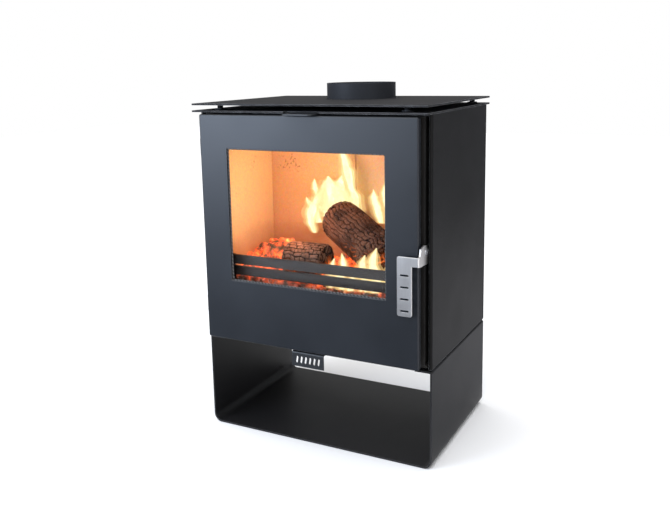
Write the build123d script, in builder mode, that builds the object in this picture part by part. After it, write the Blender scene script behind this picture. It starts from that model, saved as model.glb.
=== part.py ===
# Freestanding wood burning stove on an open log store.
# Frame: origin in the middle of the log store's underside, +Z up, the door faces -Y and the
# handle is on its +X side. All sizes are in millimetres.
from build123d import *
import os

os.makedirs("parts", exist_ok=True)

# ---------------------------------------------------------------- driving sizes: casing
stove_width = 440.0        # over the side panels
stove_depth = 290.0        # side panels' front folds to the back panel's outer face
store_height = 172.0       # floor to the top of the log store's flanges
body_height = 416.0        # side panels
sheet = 3.0                # folded sheet of log store, casing, door and top plates
seam = 3.0                 # shadow gap between log store and body
bend = 4.0                 # outer radius of a tight fold
store_bend = 16.0          # outer radius of the log store's two floor bends
store_flange = 30.0        # log store's inward top flanges
front_return = 5.5         # side panel's front fold
rear_flange = 20.0         # side panel's rear fold, which the back panel screws to
foot_flange = 27.0         # side panel's bottom fold
top_front = 23.0           # top plates' overhang in front of the body
top_back = 15.0
top_side = 2.0
top_gap = 9.0              # air gap between the two top plates
top_corner = 2.0           # corner radius of the top plates

# ---------------------------------------------------------------- driving sizes: firebox
plate = 4.0                # welded firebox plates
side_gap = 9.0             # side panel's inner face to the firebox
rear_gap = 6.0             # rear folds to the firebox back
slider_gap = 3.0           # firebox top to the lower top plate, where the top air slider runs
flue_bore = 125.0
flue_wall = 2.5
flue_rise = 29.0           # collar above the upper top plate
flue_flange = 9.0          # width of the collar's bolting flange
flue_ledge = 3.0           # firebox top inside the bore, which the flue pipe stands on
shelf_height = 84.0        # firebox floor to the top of the grate shelf
side_brick = 18.0
back_brick = 25.0
brick_height = 272.0
chamber_depth = 179.0      # front frame to the face of the back bricks
baffle_thickness = 18.0
fuel_bar = 17.0            # height of each fuel retainer bar
fuel_bar_slot = 3.5        # slot between the two bars
fuel_bar_lift = 29.0       # shelf to the lower bar

# ---------------------------------------------------------------- driving sizes: door
door_reveal = 14.0         # side panel's face to the door's edge
door_foot_gap = 5.0        # body's lower edge to the door
door_head_gap = 3.5        # door to the lower top plate
door_depth = 24.0          # body front to the door's face
door_tray = 10.0           # depth of the door panel's folded rim
door_corner = 3.0
door_edge = 2.2            # rounding of the rim's front edges
window_stile = 56.0        # door edge to window at the sides
window_head = 58.5
window_foot = 111.5
window_corner = 1.5
frame_inset = 12.0         # door edge to the inner frame's edge
sight_margin = 15.0        # window edge to the inner frame's aperture
glass_lap = 13.0           # glass behind the door panel, all round
glass_thickness = 4.0
gasket_thickness = 1.8
rope_width = 11.0
rope_inset = 12.0          # inner frame's edge to the rope's centre line
rope_gap = 0.3             # rope to the front frame

# ---------------------------------------------------------------- driving sizes: fittings
hinge_radius = 5.2
hinge_pin = 3.0            # pin radius
knuckle = 14.0             # height of a hinge knuckle
hinge_inset = 45.0         # door's top and bottom edges to the hinges
run_fit = 0.06             # radial clearance of a turning fit
seat_fit = 0.02            # radial clearance of a fixed pin
air_gap = 0.3              # clearance of sliding and neighbouring faces
handle_sheet = 2.5
handle_stand_off = 14.0    # door's face to the handle's face
handle_width = 25.0
handle_length = 97.0
handle_arm = 15.0          # height of the arm that wraps round the door's edge
pivot_height = 199.0       # body's lower edge to the handle's pivot
screw = 2.0                # radius of the small screws
slider_sheet = 2.2
tab_half = 28.0            # half width of the top air tab
badge_half = 31.0          # half width of the bottom air tab
badge_drop = 27.0          # height of the bottom air tab
pull = 12.0                # air slider travel that lines its slots up

# ---------------------------------------------------------------- levels and faces
half_width = stove_width / 2
half_depth = stove_depth / 2
body_z = store_height + seam
body_top = body_z + body_height
floor_z = body_z + sheet + plate
shelf_top = floor_z + shelf_height
brick_top = shelf_top + brick_height
fire_top = body_top - slider_gap
fire_out = half_width - sheet - side_gap
fire_in = fire_out - plate
fire_front = -half_depth + plate
fire_back_out = half_depth - 2 * sheet - rear_gap
fire_back = fire_back_out - plate
chamber_back = fire_front + chamber_depth
lining = fire_in - side_brick
lower_plate_top = body_top + sheet
upper_plate_z = lower_plate_top + top_gap
upper_plate_top = upper_plate_z + sheet
flue_outer = flue_bore / 2 + flue_wall
flange_radius = flue_outer + flue_flange
flue_y = half_depth - sheet - 2.0 - flange_radius
plate_front = -half_depth - top_front
plate_back = half_depth + top_back

door_half = half_width - door_reveal
door_z0 = body_z + door_foot_gap
door_z1 = body_top - door_head_gap
door_mid = (door_z0 + door_z1) / 2
door_height = door_z1 - door_z0
door_face = half_depth + door_depth          # distance in front of the middle
door_rim = door_face - door_tray
web_front = door_rim - 2.0                   # inner frame's front face
web_back = web_front - sheet
window_half = door_half - window_stile
window_z0 = door_z0 + window_foot
window_z1 = door_z1 - window_head
window_mid = (window_z0 + window_z1) / 2
window_height = window_z1 - window_z0
frame_width = 2 * (door_half - frame_inset)
frame_height = door_height - 2 * frame_inset
rope_w = frame_width - 2 * rope_inset        # rope's centre line
rope_h = frame_height - 2 * rope_inset
channel = rope_width + 0.4                   # clear width of the rope channel

screw_head = 1.4 * screw
fixing_x = half_width - 16.0                 # bolts between log store and body
fixing_y = half_depth - 35.0
bolt = 3.0                                   # M6 bolt radius


# ================================================================ log store
# One sheet folded into a U with inward flanges on top, open at the front and the back.
store_outline = [
    (-half_width + store_flange, store_height),
    (-half_width, store_height),
    (-half_width, 0),
    (half_width, 0),
    (half_width, store_height),
    (half_width - store_flange, store_height),
]
with BuildPart() as log_store:
    with BuildSketch(Plane.XZ):
        with BuildLine():
            FilletPolyline(*store_outline, radius=[bend, store_bend, store_bend, bend])
            offset(amount=sheet, side=Side.LEFT)
        make_face()
    extrude(amount=half_depth, both=True)
    with BuildSketch(Plane.XY.offset(store_height)):
        with GridLocations(2 * fixing_x, 2 * fixing_y, 2, 2):
            Circle(bolt + air_gap)
    extrude(amount=-sheet, mode=Mode.SUBTRACT)
log_store.part.label = "log_store"
export_step(log_store.part, "parts/log_store.step")

# Spacer washers that hold the body off the log store and make the shadow gap.
washer_radius = 8.0
with BuildPart() as body_washers:
    with BuildSketch(Plane.XY.offset(store_height)):
        with GridLocations(2 * fixing_x, 2 * fixing_y, 2, 2):
            Circle(washer_radius)
            Circle(bolt + air_gap, mode=Mode.SUBTRACT)
    extrude(amount=seam)
body_washers.part.label = "body_washers"
export_step(body_washers.part, "parts/body_washers.step")

# Hexagon bolts from under the flanges into the tapped base plate.
bolt_head = 5.0                              # half the width across flats
bolt_head_height = 4.0
with BuildPart() as body_bolts:
    with BuildSketch(Plane.XY.offset(store_height - sheet)):
        with GridLocations(2 * fixing_x, 2 * fixing_y, 2, 2):
            RegularPolygon(radius=bolt_head, side_count=6, major_radius=False)
    extrude(amount=-bolt_head_height)
    with BuildSketch(Plane.XY.offset(store_height - sheet)):
        with GridLocations(2 * fixing_x, 2 * fixing_y, 2, 2):
            Circle(bolt)
    extrude(amount=floor_z - store_height + sheet)
body_bolts.part.label = "body_bolts"
export_step(body_bolts.part, "parts/body_bolts.step")

# ================================================================ casing
# Side panel: narrow front fold, rear fold for the back panel and a bottom fold to bolt down.
panel_outline = [
    (half_width - front_return, -half_depth),
    (half_width, -half_depth),
    (half_width, half_depth - sheet),
    (half_width - rear_flange, half_depth - sheet),
]
panel_screw_x = half_width - 11.0
panel_screw_inset = 30.0
panel_screw_z = [body_z + panel_screw_inset, (body_z + body_top) / 2, body_top - panel_screw_inset]
with BuildPart() as side_panel_right:
    with BuildSketch(Plane.XY.offset(body_z)):
        with BuildLine():
            FilletPolyline(*panel_outline, radius=[bend, bend])
            offset(amount=sheet, side=Side.LEFT)
        make_face()
    extrude(amount=body_height)
    with BuildSketch(Plane.XY.offset(body_z)):
        with Locations((half_width - (foot_flange + sheet) / 2, 0)):
            Rectangle(foot_flange - sheet, stove_depth - 6 * sheet)
        with Locations((fixing_x, -fixing_y), (fixing_x, fixing_y)):
            Circle(bolt + air_gap, mode=Mode.SUBTRACT)
    extrude(amount=sheet)
    with BuildSketch(Plane.XZ.offset(-half_depth + sheet)):
        with Locations(*[(panel_screw_x, z) for z in panel_screw_z]):
            Circle(screw + seat_fit)
    extrude(amount=sheet, mode=Mode.SUBTRACT)
side_panel_right.part.label = "side_panel_right"
export_step(side_panel_right.part, "parts/side_panel_right.step")

with BuildPart() as side_panel_left:
    mirror(side_panel_right.part, about=Plane.YZ)
side_panel_left.part.label = "side_panel_left"
export_step(side_panel_left.part, "parts/side_panel_left.step")

# Back panel: heat shield with two rows of cooling slots, screwed over the rear folds.
slot_pitch = 24.0
slot_length = 45.0
slot_width = 6.0
slot_inset = 55.0
slots_across = int((stove_width - 4 * rear_flange) / slot_pitch)
screw_points = [(side * panel_screw_x, z) for side in (-1, 1) for z in panel_screw_z]
with BuildPart() as back_panel:
    with BuildSketch(Plane.XZ.offset(-half_depth)):
        with Locations((0, (body_z + body_top) / 2)):
            Rectangle(stove_width, body_height)
        for row_z in (body_z + slot_inset, body_top - slot_inset):
            with Locations((0, row_z)):
                with GridLocations(slot_pitch, 1, slots_across, 1):
                    SlotOverall(slot_length, slot_width, rotation=90, mode=Mode.SUBTRACT)
        with Locations(*screw_points):
            Circle(screw + seat_fit, mode=Mode.SUBTRACT)
    extrude(amount=sheet)
back_panel.part.label = "back_panel"
export_step(back_panel.part, "parts/back_panel.step")

screw_head_height = 2.0
screw_head_round = 1.2
with BuildPart() as back_panel_screws:
    with BuildSketch(Plane.XZ.offset(-half_depth)):
        with Locations(*screw_points):
            Circle(2 * screw)
    extrude(amount=-screw_head_height)
    fillet(back_panel_screws.faces().sort_by(Axis.Y)[-6:].edges(), radius=screw_head_round)
    with BuildSketch(Plane.XZ.offset(-half_depth)):
        with Locations(*screw_points):
            Circle(screw)
    extrude(amount=2 * sheet)
back_panel_screws.part.label = "back_panel_screws"
export_step(back_panel_screws.part, "parts/back_panel_screws.step")

# ================================================================ top plates and flue collar
top_width = stove_width + 2 * top_side
top_middle = (plate_front + plate_back) / 2
top_length = plate_back - plate_front
notch_half = tab_half + 6.0
notch_depth = 10.0
flue_clearance = 1.0                         # top plates to the collar
plate_edge = 0.4                             # broken edge of the top plates
with BuildPart() as lower_top_plate:
    with BuildSketch(Plane.XY.offset(body_top)):
        with Locations((0, top_middle)):
            RectangleRounded(top_width, top_length, top_corner)
        with Locations((0, flue_y)):
            Circle(flue_outer + flue_clearance, mode=Mode.SUBTRACT)
        with Locations((0, plate_front)):
            Rectangle(2 * notch_half, 2 * notch_depth, mode=Mode.SUBTRACT)
    extrude(amount=sheet)
    chamfer(lower_top_plate.faces().sort_by(Axis.Z)[-1].outer_wire().edges(), length=plate_edge)
lower_top_plate.part.label = "lower_top_plate"
export_step(lower_top_plate.part, "parts/lower_top_plate.step")

with BuildPart() as upper_top_plate:
    with BuildSketch(Plane.XY.offset(upper_plate_z)):
        with Locations((0, top_middle)):
            RectangleRounded(top_width, top_length, top_corner)
        with Locations((0, flue_y)):
            Circle(flue_outer + flue_clearance, mode=Mode.SUBTRACT)
    extrude(amount=sheet)
    chamfer(upper_top_plate.faces().sort_by(Axis.Z)[-1].outer_wire().edges(), length=plate_edge)
upper_top_plate.part.label = "upper_top_plate"
export_step(upper_top_plate.part, "parts/upper_top_plate.step")

# Four turned spacers with a wide foot carry the upper plate, the front pair nearer the middle.
spacer_foot = 9.0
spacer_foot_height = 2.5
spacer_neck = 5.0
spacer_front = (half_width - 42.0, 3.0 - half_depth)
spacer_rear = (half_width - 24.0, half_depth - 12.0)
spacer_points = [(side * x, y) for side in (-1, 1) for x, y in (spacer_front, spacer_rear)]
with BuildPart() as top_plate_spacers:
    with BuildSketch(Plane.XY.offset(lower_plate_top)):
        with Locations(*spacer_points):
            Circle(spacer_foot)
    extrude(amount=spacer_foot_height)
    with BuildSketch(Plane.XY.offset(lower_plate_top)):
        with Locations(*spacer_points):
            Circle(spacer_neck)
    extrude(amount=top_gap)
top_plate_spacers.part.label = "top_plate_spacers"
export_step(top_plate_spacers.part, "parts/top_plate_spacers.step")

# Spigot for the flue pipe, with a flange bolted to the firebox top.
collar_top = upper_plate_top + flue_rise
bolt_circle = flue_outer + flue_flange / 2
collar_bolt = 2.5
collar_nut = 4.0                             # half the width across flats
collar_nut_height = 3.5
with BuildPart() as flue_collar:
    with BuildSketch(Plane.XY.offset(fire_top)):
        with Locations((0, flue_y)):
            Circle(flange_radius)
            with PolarLocations(bolt_circle, 4, start_angle=45):
                Circle(collar_bolt + seat_fit, mode=Mode.SUBTRACT)
    extrude(amount=slider_gap)
    with BuildSketch(Plane.XY.offset(fire_top)):
        with Locations((0, flue_y)):
            Circle(flue_outer)
    extrude(amount=collar_top - fire_top)
    with BuildSketch(Plane.XY.offset(fire_top)):
        with Locations((0, flue_y)):
            Circle(flue_bore / 2)
    extrude(amount=collar_top - fire_top, mode=Mode.SUBTRACT)
flue_collar.part.label = "flue_collar"
export_step(flue_collar.part, "parts/flue_collar.step")

with BuildPart() as collar_bolts:
    with BuildSketch(Plane.XY.offset(fire_top - plate)):
        with Locations((0, flue_y)):
            with PolarLocations(bolt_circle, 4, start_angle=45):
                RegularPolygon(radius=collar_nut, side_count=6, major_radius=False)
    extrude(amount=-collar_nut_height)
    with BuildSketch(Plane.XY.offset(fire_top - plate)):
        with Locations((0, flue_y)):
            with PolarLocations(bolt_circle, 4, start_angle=45):
                Circle(collar_bolt)
    extrude(amount=plate + slider_gap)
collar_bolts.part.label = "collar_bolts"
export_step(collar_bolts.part, "parts/collar_bolts.step")

# ================================================================ firebox
# Floor of the body: tapped for the bolts and slotted for the primary air.
base_half = half_width - front_return - sheet
base_back = half_depth - 2 * sheet - air_gap
air_slot_y = fire_front + 16.0               # both rows of air slots sit behind the front frame
air_slot_width = 8.0
primary_slot = 34.0                          # length of each primary air slot
primary_pitch = 42.0
wash_slot = 52.0                             # length of each airwash slot
wash_pitch = 62.0
with BuildPart() as base_plate:
    with BuildSketch(Plane.XY.offset(body_z + sheet)):
        with Locations((0, (base_back - half_depth) / 2)):
            Rectangle(2 * base_half, base_back + half_depth)
        with GridLocations(2 * fixing_x, 2 * fixing_y, 2, 2):
            Circle(bolt + seat_fit, mode=Mode.SUBTRACT)
        with Locations((0, air_slot_y)):
            with GridLocations(primary_pitch, 1, 3, 1):
                SlotOverall(primary_slot, air_slot_width, mode=Mode.SUBTRACT)
    extrude(amount=plate)
base_plate.part.label = "base_plate"
export_step(base_plate.part, "parts/base_plate.step")

for side, name in ((-1, "firebox_left"), (1, "firebox_right")):
    with BuildPart() as firebox_side:
        with BuildSketch(Plane.XY.offset(floor_z)):
            with Locations((side * (fire_in + plate / 2), (fire_front + fire_back) / 2)):
                Rectangle(plate, fire_back - fire_front)
        extrude(amount=fire_top - plate - floor_z)
    firebox_side.part.label = name
    export_step(firebox_side.part, f"parts/{name}.step")

with BuildPart() as firebox_back:
    with BuildSketch(Plane.XY.offset(floor_z)):
        with Locations((0, fire_back + plate / 2)):
            Rectangle(2 * fire_out, plate)
    extrude(amount=fire_top - plate - floor_z)
firebox_back.part.label = "firebox_back"
export_step(firebox_back.part, "parts/firebox_back.step")

with BuildPart() as firebox_top:
    with BuildSketch(Plane.XY.offset(fire_top - plate)):
        with Locations((0, (fire_front + fire_back_out) / 2)):
            Rectangle(2 * fire_out, fire_back_out - fire_front)
        with Locations((0, flue_y)):
            Circle(flue_bore / 2 - flue_ledge, mode=Mode.SUBTRACT)
            with PolarLocations(bolt_circle, 4, start_angle=45):
                Circle(collar_bolt + seat_fit, mode=Mode.SUBTRACT)
        with Locations((0, air_slot_y)):
            with GridLocations(wash_pitch, 1, 3, 1):
                SlotOverall(wash_slot, air_slot_width, mode=Mode.SUBTRACT)
    extrude(amount=plate)
firebox_top.part.label = "firebox_top"
export_step(firebox_top.part, "parts/firebox_top.step")

# Front frame: the door's rope seal closes on it.
rope_land = 2.0                              # front frame inside the rope's inner edge
opening_corner = 4.0
opening_w = rope_w - rope_width - 2 * rope_land
opening_h = rope_h - rope_width - 2 * rope_land
with BuildPart() as front_frame:
    with BuildSketch(Plane.XZ.offset(half_depth)):
        with Locations((0, (floor_z + fire_top) / 2)):
            Rectangle(2 * fire_out, fire_top - floor_z)
        with Locations((0, door_mid)):
            RectangleRounded(opening_w, opening_h, opening_corner, mode=Mode.SUBTRACT)
    extrude(amount=-plate)
front_frame.part.label = "front_frame"
export_step(front_frame.part, "parts/front_frame.step")

# Folded deflector that turns the airwash air down over the glass.
wash_y = air_slot_y + 10.0
wash_drop = 37.0
wash_lip = 6.0                               # front frame to the deflector's lower edge
with BuildPart() as airwash_deflector:
    with BuildSketch(Plane.YZ):
        with BuildLine():
            FilletPolyline(
                (wash_y, fire_top - plate),
                (wash_y, fire_top - plate - wash_drop),
                (fire_front + wash_lip, fire_top - plate - wash_drop),
                radius=[bend],
            )
            offset(amount=sheet, side=Side.LEFT)
        make_face()
    extrude(amount=fire_in - air_gap, both=True)
airwash_deflector.part.label = "airwash_deflector"
export_step(airwash_deflector.part, "parts/airwash_deflector.step")

# ================================================================ hearth, grate and ash pan
grate_y = (fire_front + chamber_back) / 2
grate_half = 118.0
grate_depth = 124.0
with BuildPart() as grate_shelf:
    with BuildSketch(Plane.XY.offset(shelf_top - plate)):
        with Locations((0, (fire_front + fire_back) / 2)):
            Rectangle(2 * fire_in, fire_back - fire_front)
        with Locations((0, grate_y)):
            Rectangle(2 * grate_half, grate_depth, mode=Mode.SUBTRACT)
    extrude(amount=plate)
grate_shelf.part.label = "grate_shelf"
export_step(grate_shelf.part, "parts/grate_shelf.step")

grate_rim = 6.0
grate_play = 1.0                             # grate to its opening in the shelf
grate_bars = 13                              # slots between the bars
grate_pitch = 17.0
grate_slot = 8.0
grate_slot_end = 9.0                         # solid rim beyond each end of a slot
with BuildPart() as grate:
    with BuildSketch(Plane.XY.offset(shelf_top)):
        with Locations((0, grate_y)):
            Rectangle(2 * (grate_half + grate_rim), grate_depth + 2 * grate_rim)
    extrude(amount=grate_rim)
    with BuildSketch(Plane.XY.offset(shelf_top)):
        with Locations((0, grate_y)):
            Rectangle(2 * (grate_half - grate_play), grate_depth - 2 * grate_play)
    extrude(amount=-plate)
    with BuildSketch(Plane.XY.offset(shelf_top - plate)):
        with Locations((0, grate_y)):
            with GridLocations(grate_pitch, 1, grate_bars, 1):
                SlotOverall(grate_depth - 2 * grate_slot_end, grate_slot, rotation=90)
    extrude(amount=plate + grate_rim, mode=Mode.SUBTRACT)
grate.part.label = "grate"
export_step(grate.part, "parts/grate.step")

pan_sheet = 2.0
pan_height = 44.0
pan_half = grate_half - 8.0
pan_depth = 130.0
pan_corner = 6.0
pan_lip_width = 70.0
pan_lip_depth = 12.0
pan_lip_lap = 1.0                            # lip into the pan's front wall
pan_y = air_slot_y + 20.0 + pan_depth / 2
with BuildPart() as ash_pan:
    with BuildSketch(Plane.XY.offset(floor_z)):
        with Locations((0, pan_y)):
            RectangleRounded(2 * pan_half, pan_depth, pan_corner)
    extrude(amount=pan_height)
    with BuildSketch(Plane.XY.offset(floor_z + pan_sheet)):
        with Locations((0, pan_y)):
            RectangleRounded(2 * (pan_half - pan_sheet), pan_depth - 2 * pan_sheet, pan_corner - pan_sheet)
    extrude(amount=pan_height - pan_sheet, mode=Mode.SUBTRACT)
    with BuildSketch(Plane.XY.offset(floor_z + pan_height - pan_sheet)):
        with Locations((0, pan_y - pan_depth / 2 - pan_lip_depth / 2 + pan_lip_lap)):
            Rectangle(pan_lip_width, pan_lip_depth)
    extrude(amount=pan_sheet)
ash_pan.part.label = "ash_pan"
export_step(ash_pan.part, "parts/ash_pan.step")

# Fuel retainer: two flat bars on two welded posts that stand on the shelf.
bar_face = fire_front + 0.5
bar_thickness = 3.5
post_width = 12.0
bar_half = lining - 5.0
bar_corner = 1.5
with BuildPart() as fuel_retainer:
    with BuildSketch(Plane.XZ.offset(-bar_face)):
        for bar_z in (fuel_bar_lift, fuel_bar_lift + fuel_bar + fuel_bar_slot):
            with Locations((0, shelf_top + bar_z + fuel_bar / 2)):
                RectangleRounded(2 * bar_half, fuel_bar, bar_corner)
    extrude(amount=-bar_thickness)
    post_height = fuel_bar_lift + 2 * fuel_bar + fuel_bar_slot
    with BuildSketch(Plane.XZ.offset(-bar_face - bar_thickness)):
        with Locations(*[(s * (bar_half - post_width), shelf_top + post_height / 2) for s in (-1, 1)]):
            Rectangle(post_width, post_height)
    extrude(amount=-bar_thickness)
fuel_retainer.part.label = "fuel_retainer"
export_step(fuel_retainer.part, "parts/fuel_retainer.step")

# ================================================================ fire lining
brick_play = 0.5                             # bricks to the fuel retainer's posts
brick_edge = 1.0                             # broken edge of the bricks
brick_front = bar_face + 2 * bar_thickness + brick_play
for side, name in ((-1, "side_brick_left"), (1, "side_brick_right")):
    with BuildPart() as lining_side:
        with BuildSketch(Plane.XY.offset(shelf_top)):
            with Locations((side * (lining + side_brick / 2), (brick_front + chamber_back) / 2)):
                Rectangle(side_brick, chamber_back - brick_front)
        extrude(amount=brick_height)
        chamfer(lining_side.edges().filter_by(Axis.Z), length=brick_edge)
    lining_side.part.label = name
    export_step(lining_side.part, f"parts/{name}.step")

joint_gap = 0.6
for side, name in ((-1, "back_brick_left"), (1, "back_brick_right")):
    with BuildPart() as lining_back:
        with BuildSketch(Plane.XY.offset(shelf_top)):
            with Locations((side * (fire_in + joint_gap) / 2, chamber_back + back_brick / 2)):
                Rectangle(fire_in - joint_gap, back_brick)
        extrude(amount=brick_height)
        chamfer(lining_back.edges().filter_by(Axis.Z), length=brick_edge)
    lining_back.part.label = name
    export_step(lining_back.part, f"parts/{name}.step")

# Folded carrier that holds the back bricks forward of the firebox back.
carrier_front = chamber_back + back_brick
carrier_drop = 40.0                          # top of the bricks to the carrier's top
carrier_height = brick_height - carrier_drop
with BuildPart() as brick_carrier:
    with BuildSketch(Plane.XY.offset(shelf_top)):
        with Locations((0, (carrier_front + fire_back) / 2)):
            Rectangle(2 * fire_in - 2 * air_gap, fire_back - carrier_front)
    extrude(amount=carrier_height)
    with BuildSketch(Plane.XY.offset(shelf_top)):
        with Locations((0, (carrier_front + sheet + fire_back) / 2)):
            Rectangle(2 * (fire_in - air_gap - sheet), fire_back - carrier_front - sheet)
    extrude(amount=carrier_height - sheet, mode=Mode.SUBTRACT)
brick_carrier.part.label = "brick_carrier"
export_step(brick_carrier.part, "parts/brick_carrier.step")

# Top baffle: smoke passes over its front edge and back to the flue.
baffle_throat = 60.0                         # smoke gap in front of the baffle
baffle_play = 1.0
baffle_front = fire_front + baffle_throat
baffle_rear = fire_back - baffle_play
with BuildPart() as baffle:
    with BuildSketch(Plane.XY.offset(brick_top)):
        with Locations((0, (baffle_front + baffle_rear) / 2)):
            Rectangle(2 * (fire_in - baffle_play), baffle_rear - baffle_front)
    extrude(amount=baffle_thickness)
baffle.part.label = "baffle"
export_step(baffle.part, "parts/baffle.step")

# ================================================================ fire: embers and two logs
# Embers lie deeper at the back and heap up in the left rear corner.
ember_front = brick_front
ember_play = 0.5                             # embers to the bricks
ember_rear = chamber_back - ember_play
ember_front_depth = 22.0
ember_rear_depth = 34.0
ember_profile = [
    (ember_front, shelf_top),
    (ember_front, shelf_top + ember_front_depth),
    (ember_rear, shelf_top + ember_rear_depth),
    (ember_rear, shelf_top),
]
heap_radius = 50.0
heap_top_radius = 22.0
heap_height = 72.0
heap_to_back = 10.0
heap_to_side = 1.0
heap_sink = 1.0                              # heap's foot below the bed's surface
heap_y = chamber_back - heap_radius - heap_to_back
heap_x = heap_radius + heap_to_side - lining
heap_foot = ember_front_depth - heap_sink
grate_hollow = 1.0                           # hollow in the embers over the grate's rim
with BuildPart() as ember_bed:
    with BuildSketch(Plane.YZ):
        Polygon(*ember_profile, align=None)
    extrude(amount=lining - ember_play, both=True)
    with Locations((heap_x, heap_y, shelf_top + (heap_foot + heap_height) / 2)):
        Cone(heap_radius, heap_top_radius, heap_height - heap_foot)
    with BuildSketch(Plane.XY.offset(shelf_top)):
        with Locations((0, grate_y)):
            Rectangle(
                2 * (grate_half + grate_rim) + grate_hollow,
                grate_depth + 2 * grate_rim + grate_hollow,
            )
    extrude(amount=grate_rim + air_gap, mode=Mode.SUBTRACT)
ember_bed.part.label = "ember_bed"
export_step(ember_bed.part, "parts/ember_bed.step")

# Small log across the front, on the embers.
lower_log_radius = 33.0
lower_log_length = 76.0
lower_log_gap = 1.5                          # log to the front edge of the embers
lower_log_rise = 4.0                         # log above the front of the embers
lower_log_x = 14.5 - lining / 4
lower_log_y = ember_front + lower_log_radius + lower_log_gap
lower_log_z = shelf_top + ember_front_depth + lower_log_radius + lower_log_rise
log_edge = 2.0
with BuildPart() as log_lower:
    with Locations(Location((lower_log_x, lower_log_y, lower_log_z), (0, 90, 0))):
        Cylinder(lower_log_radius, lower_log_length)
    chamfer(log_lower.edges(), length=log_edge)
log_lower.part.label = "log_lower"
export_step(log_lower.part, "parts/log_lower.step")

# Thick log that leans from the front right corner up to the back.
upper_log_radius = 41.0
upper_log_length = 170.0
upper_log_drop = 0.28                        # fall along the log, as a share of its length
upper_log_run = (0.80, -0.52, -upper_log_drop)
upper_log_lift = ember_rear_depth + upper_log_radius + upper_log_drop * upper_log_length / 2
upper_log_middle = (lining / 5 + 13.0, chamber_back - 80.0, shelf_top + upper_log_lift - 7.0)
with BuildPart() as log_upper:
    with Locations(Plane(origin=upper_log_middle, z_dir=upper_log_run).location):
        Cylinder(upper_log_radius, upper_log_length)
    chamfer(log_upper.edges(), length=log_edge)
log_upper.part.label = "log_upper"
export_step(log_upper.part, "parts/log_upper.step")

# ================================================================ air sliders
# Top slider: throttles the airwash, pulled by the tab above the door.
top_slider_half = 98.0
top_slider_z = fire_top + (slider_gap - slider_sheet) / 2
tab_front = -door_face - 17.0
guide_strip = 12.0
slider_front = fire_front + 2.0
slider_rear = air_slot_y + pull + 14.0
with BuildPart() as top_air_slider:
    with BuildSketch(Plane.XY.offset(top_slider_z)):
        with Locations((0, (slider_front + slider_rear) / 2)):
            Rectangle(2 * top_slider_half, slider_rear - slider_front)
        with Locations((0, (tab_front + slider_rear) / 2)):
            RectangleRounded(2 * tab_half, slider_rear - tab_front, 6.0)
        with Locations((0, air_slot_y + pull)):
            with GridLocations(wash_pitch, 1, 3, 1):
                SlotOverall(wash_slot, air_slot_width, mode=Mode.SUBTRACT)
    extrude(amount=slider_sheet)
top_air_slider.part.label = "top_air_slider"
export_step(top_air_slider.part, "parts/top_air_slider.step")

with BuildPart() as top_slider_guides:
    with BuildSketch(Plane.XY.offset(fire_top)):
        guide_x = top_slider_half + air_gap + guide_strip / 2
        with Locations(*[(s * guide_x, (fire_front + slider_rear) / 2) for s in (-1, 1)]):
            Rectangle(guide_strip, slider_rear - fire_front)
    extrude(amount=slider_gap)
top_slider_guides.part.label = "top_slider_guides"
export_step(top_slider_guides.part, "parts/top_slider_guides.step")

# Bottom slider: throttles the primary air, pulled by the slotted tab under the door.
bottom_half = 70.0
bottom_z = body_z + sheet - air_gap - slider_sheet
badge_front = -door_face + 3.0
badge_bend = 3.5
badge_slots = 6
badge_slots_rise = 1.0                       # slots above the middle of the tab
badge_slot_pitch = 8.5
badge_slot_length = 13.0
badge_slot_width = 4.0
badge_slot_tilt = 80.0
with BuildPart() as bottom_air_slider:
    with BuildSketch(Plane.XY.offset(bottom_z)):
        with Locations((0, (slider_front + slider_rear) / 2)):
            Rectangle(2 * bottom_half, slider_rear - slider_front)
        with Locations((0, air_slot_y + pull)):
            with GridLocations(primary_pitch, 1, 3, 1):
                SlotOverall(primary_slot, air_slot_width, mode=Mode.SUBTRACT)
    extrude(amount=slider_sheet)
    with BuildSketch(Plane.YZ):
        with BuildLine():
            FilletPolyline(
                (slider_front + 1.0, bottom_z + slider_sheet),
                (badge_front, bottom_z + slider_sheet),
                (badge_front, bottom_z + slider_sheet - badge_drop),
                radius=[badge_bend],
            )
            offset(amount=slider_sheet, side=Side.LEFT)
        make_face()
    extrude(amount=badge_half, both=True)
    with BuildSketch(Plane.XZ.offset(-badge_front)):
        with Locations((0, bottom_z - badge_drop / 2 + badge_slots_rise)):
            with GridLocations(badge_slot_pitch, 1, badge_slots, 1):
                SlotOverall(badge_slot_length, badge_slot_width, rotation=badge_slot_tilt)
    extrude(amount=-slider_sheet, mode=Mode.SUBTRACT)
bottom_air_slider.part.label = "bottom_air_slider"
export_step(bottom_air_slider.part, "parts/bottom_air_slider.step")

guide_lip = 8.0
lip_z = bottom_z - air_gap - slider_sheet
guide_wall_x = bottom_half + sheet / 2 + air_gap
guide_y = (fire_front + slider_rear) / 2
with BuildPart() as bottom_slider_guides:
    for side in (-1, 1):
        with BuildSketch(Plane.XY.offset(lip_z)):
            with Locations((side * (guide_wall_x - guide_lip / 2), guide_y)):
                Rectangle(guide_lip + sheet, slider_rear - fire_front)
        extrude(amount=slider_sheet)
        with BuildSketch(Plane.XY.offset(lip_z)):
            with Locations((side * guide_wall_x, guide_y)):
                Rectangle(sheet, slider_rear - fire_front)
        extrude(amount=body_z + sheet - lip_z)
bottom_slider_guides.part.label = "bottom_slider_guides"
export_step(bottom_slider_guides.part, "parts/bottom_slider_guides.step")

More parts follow.
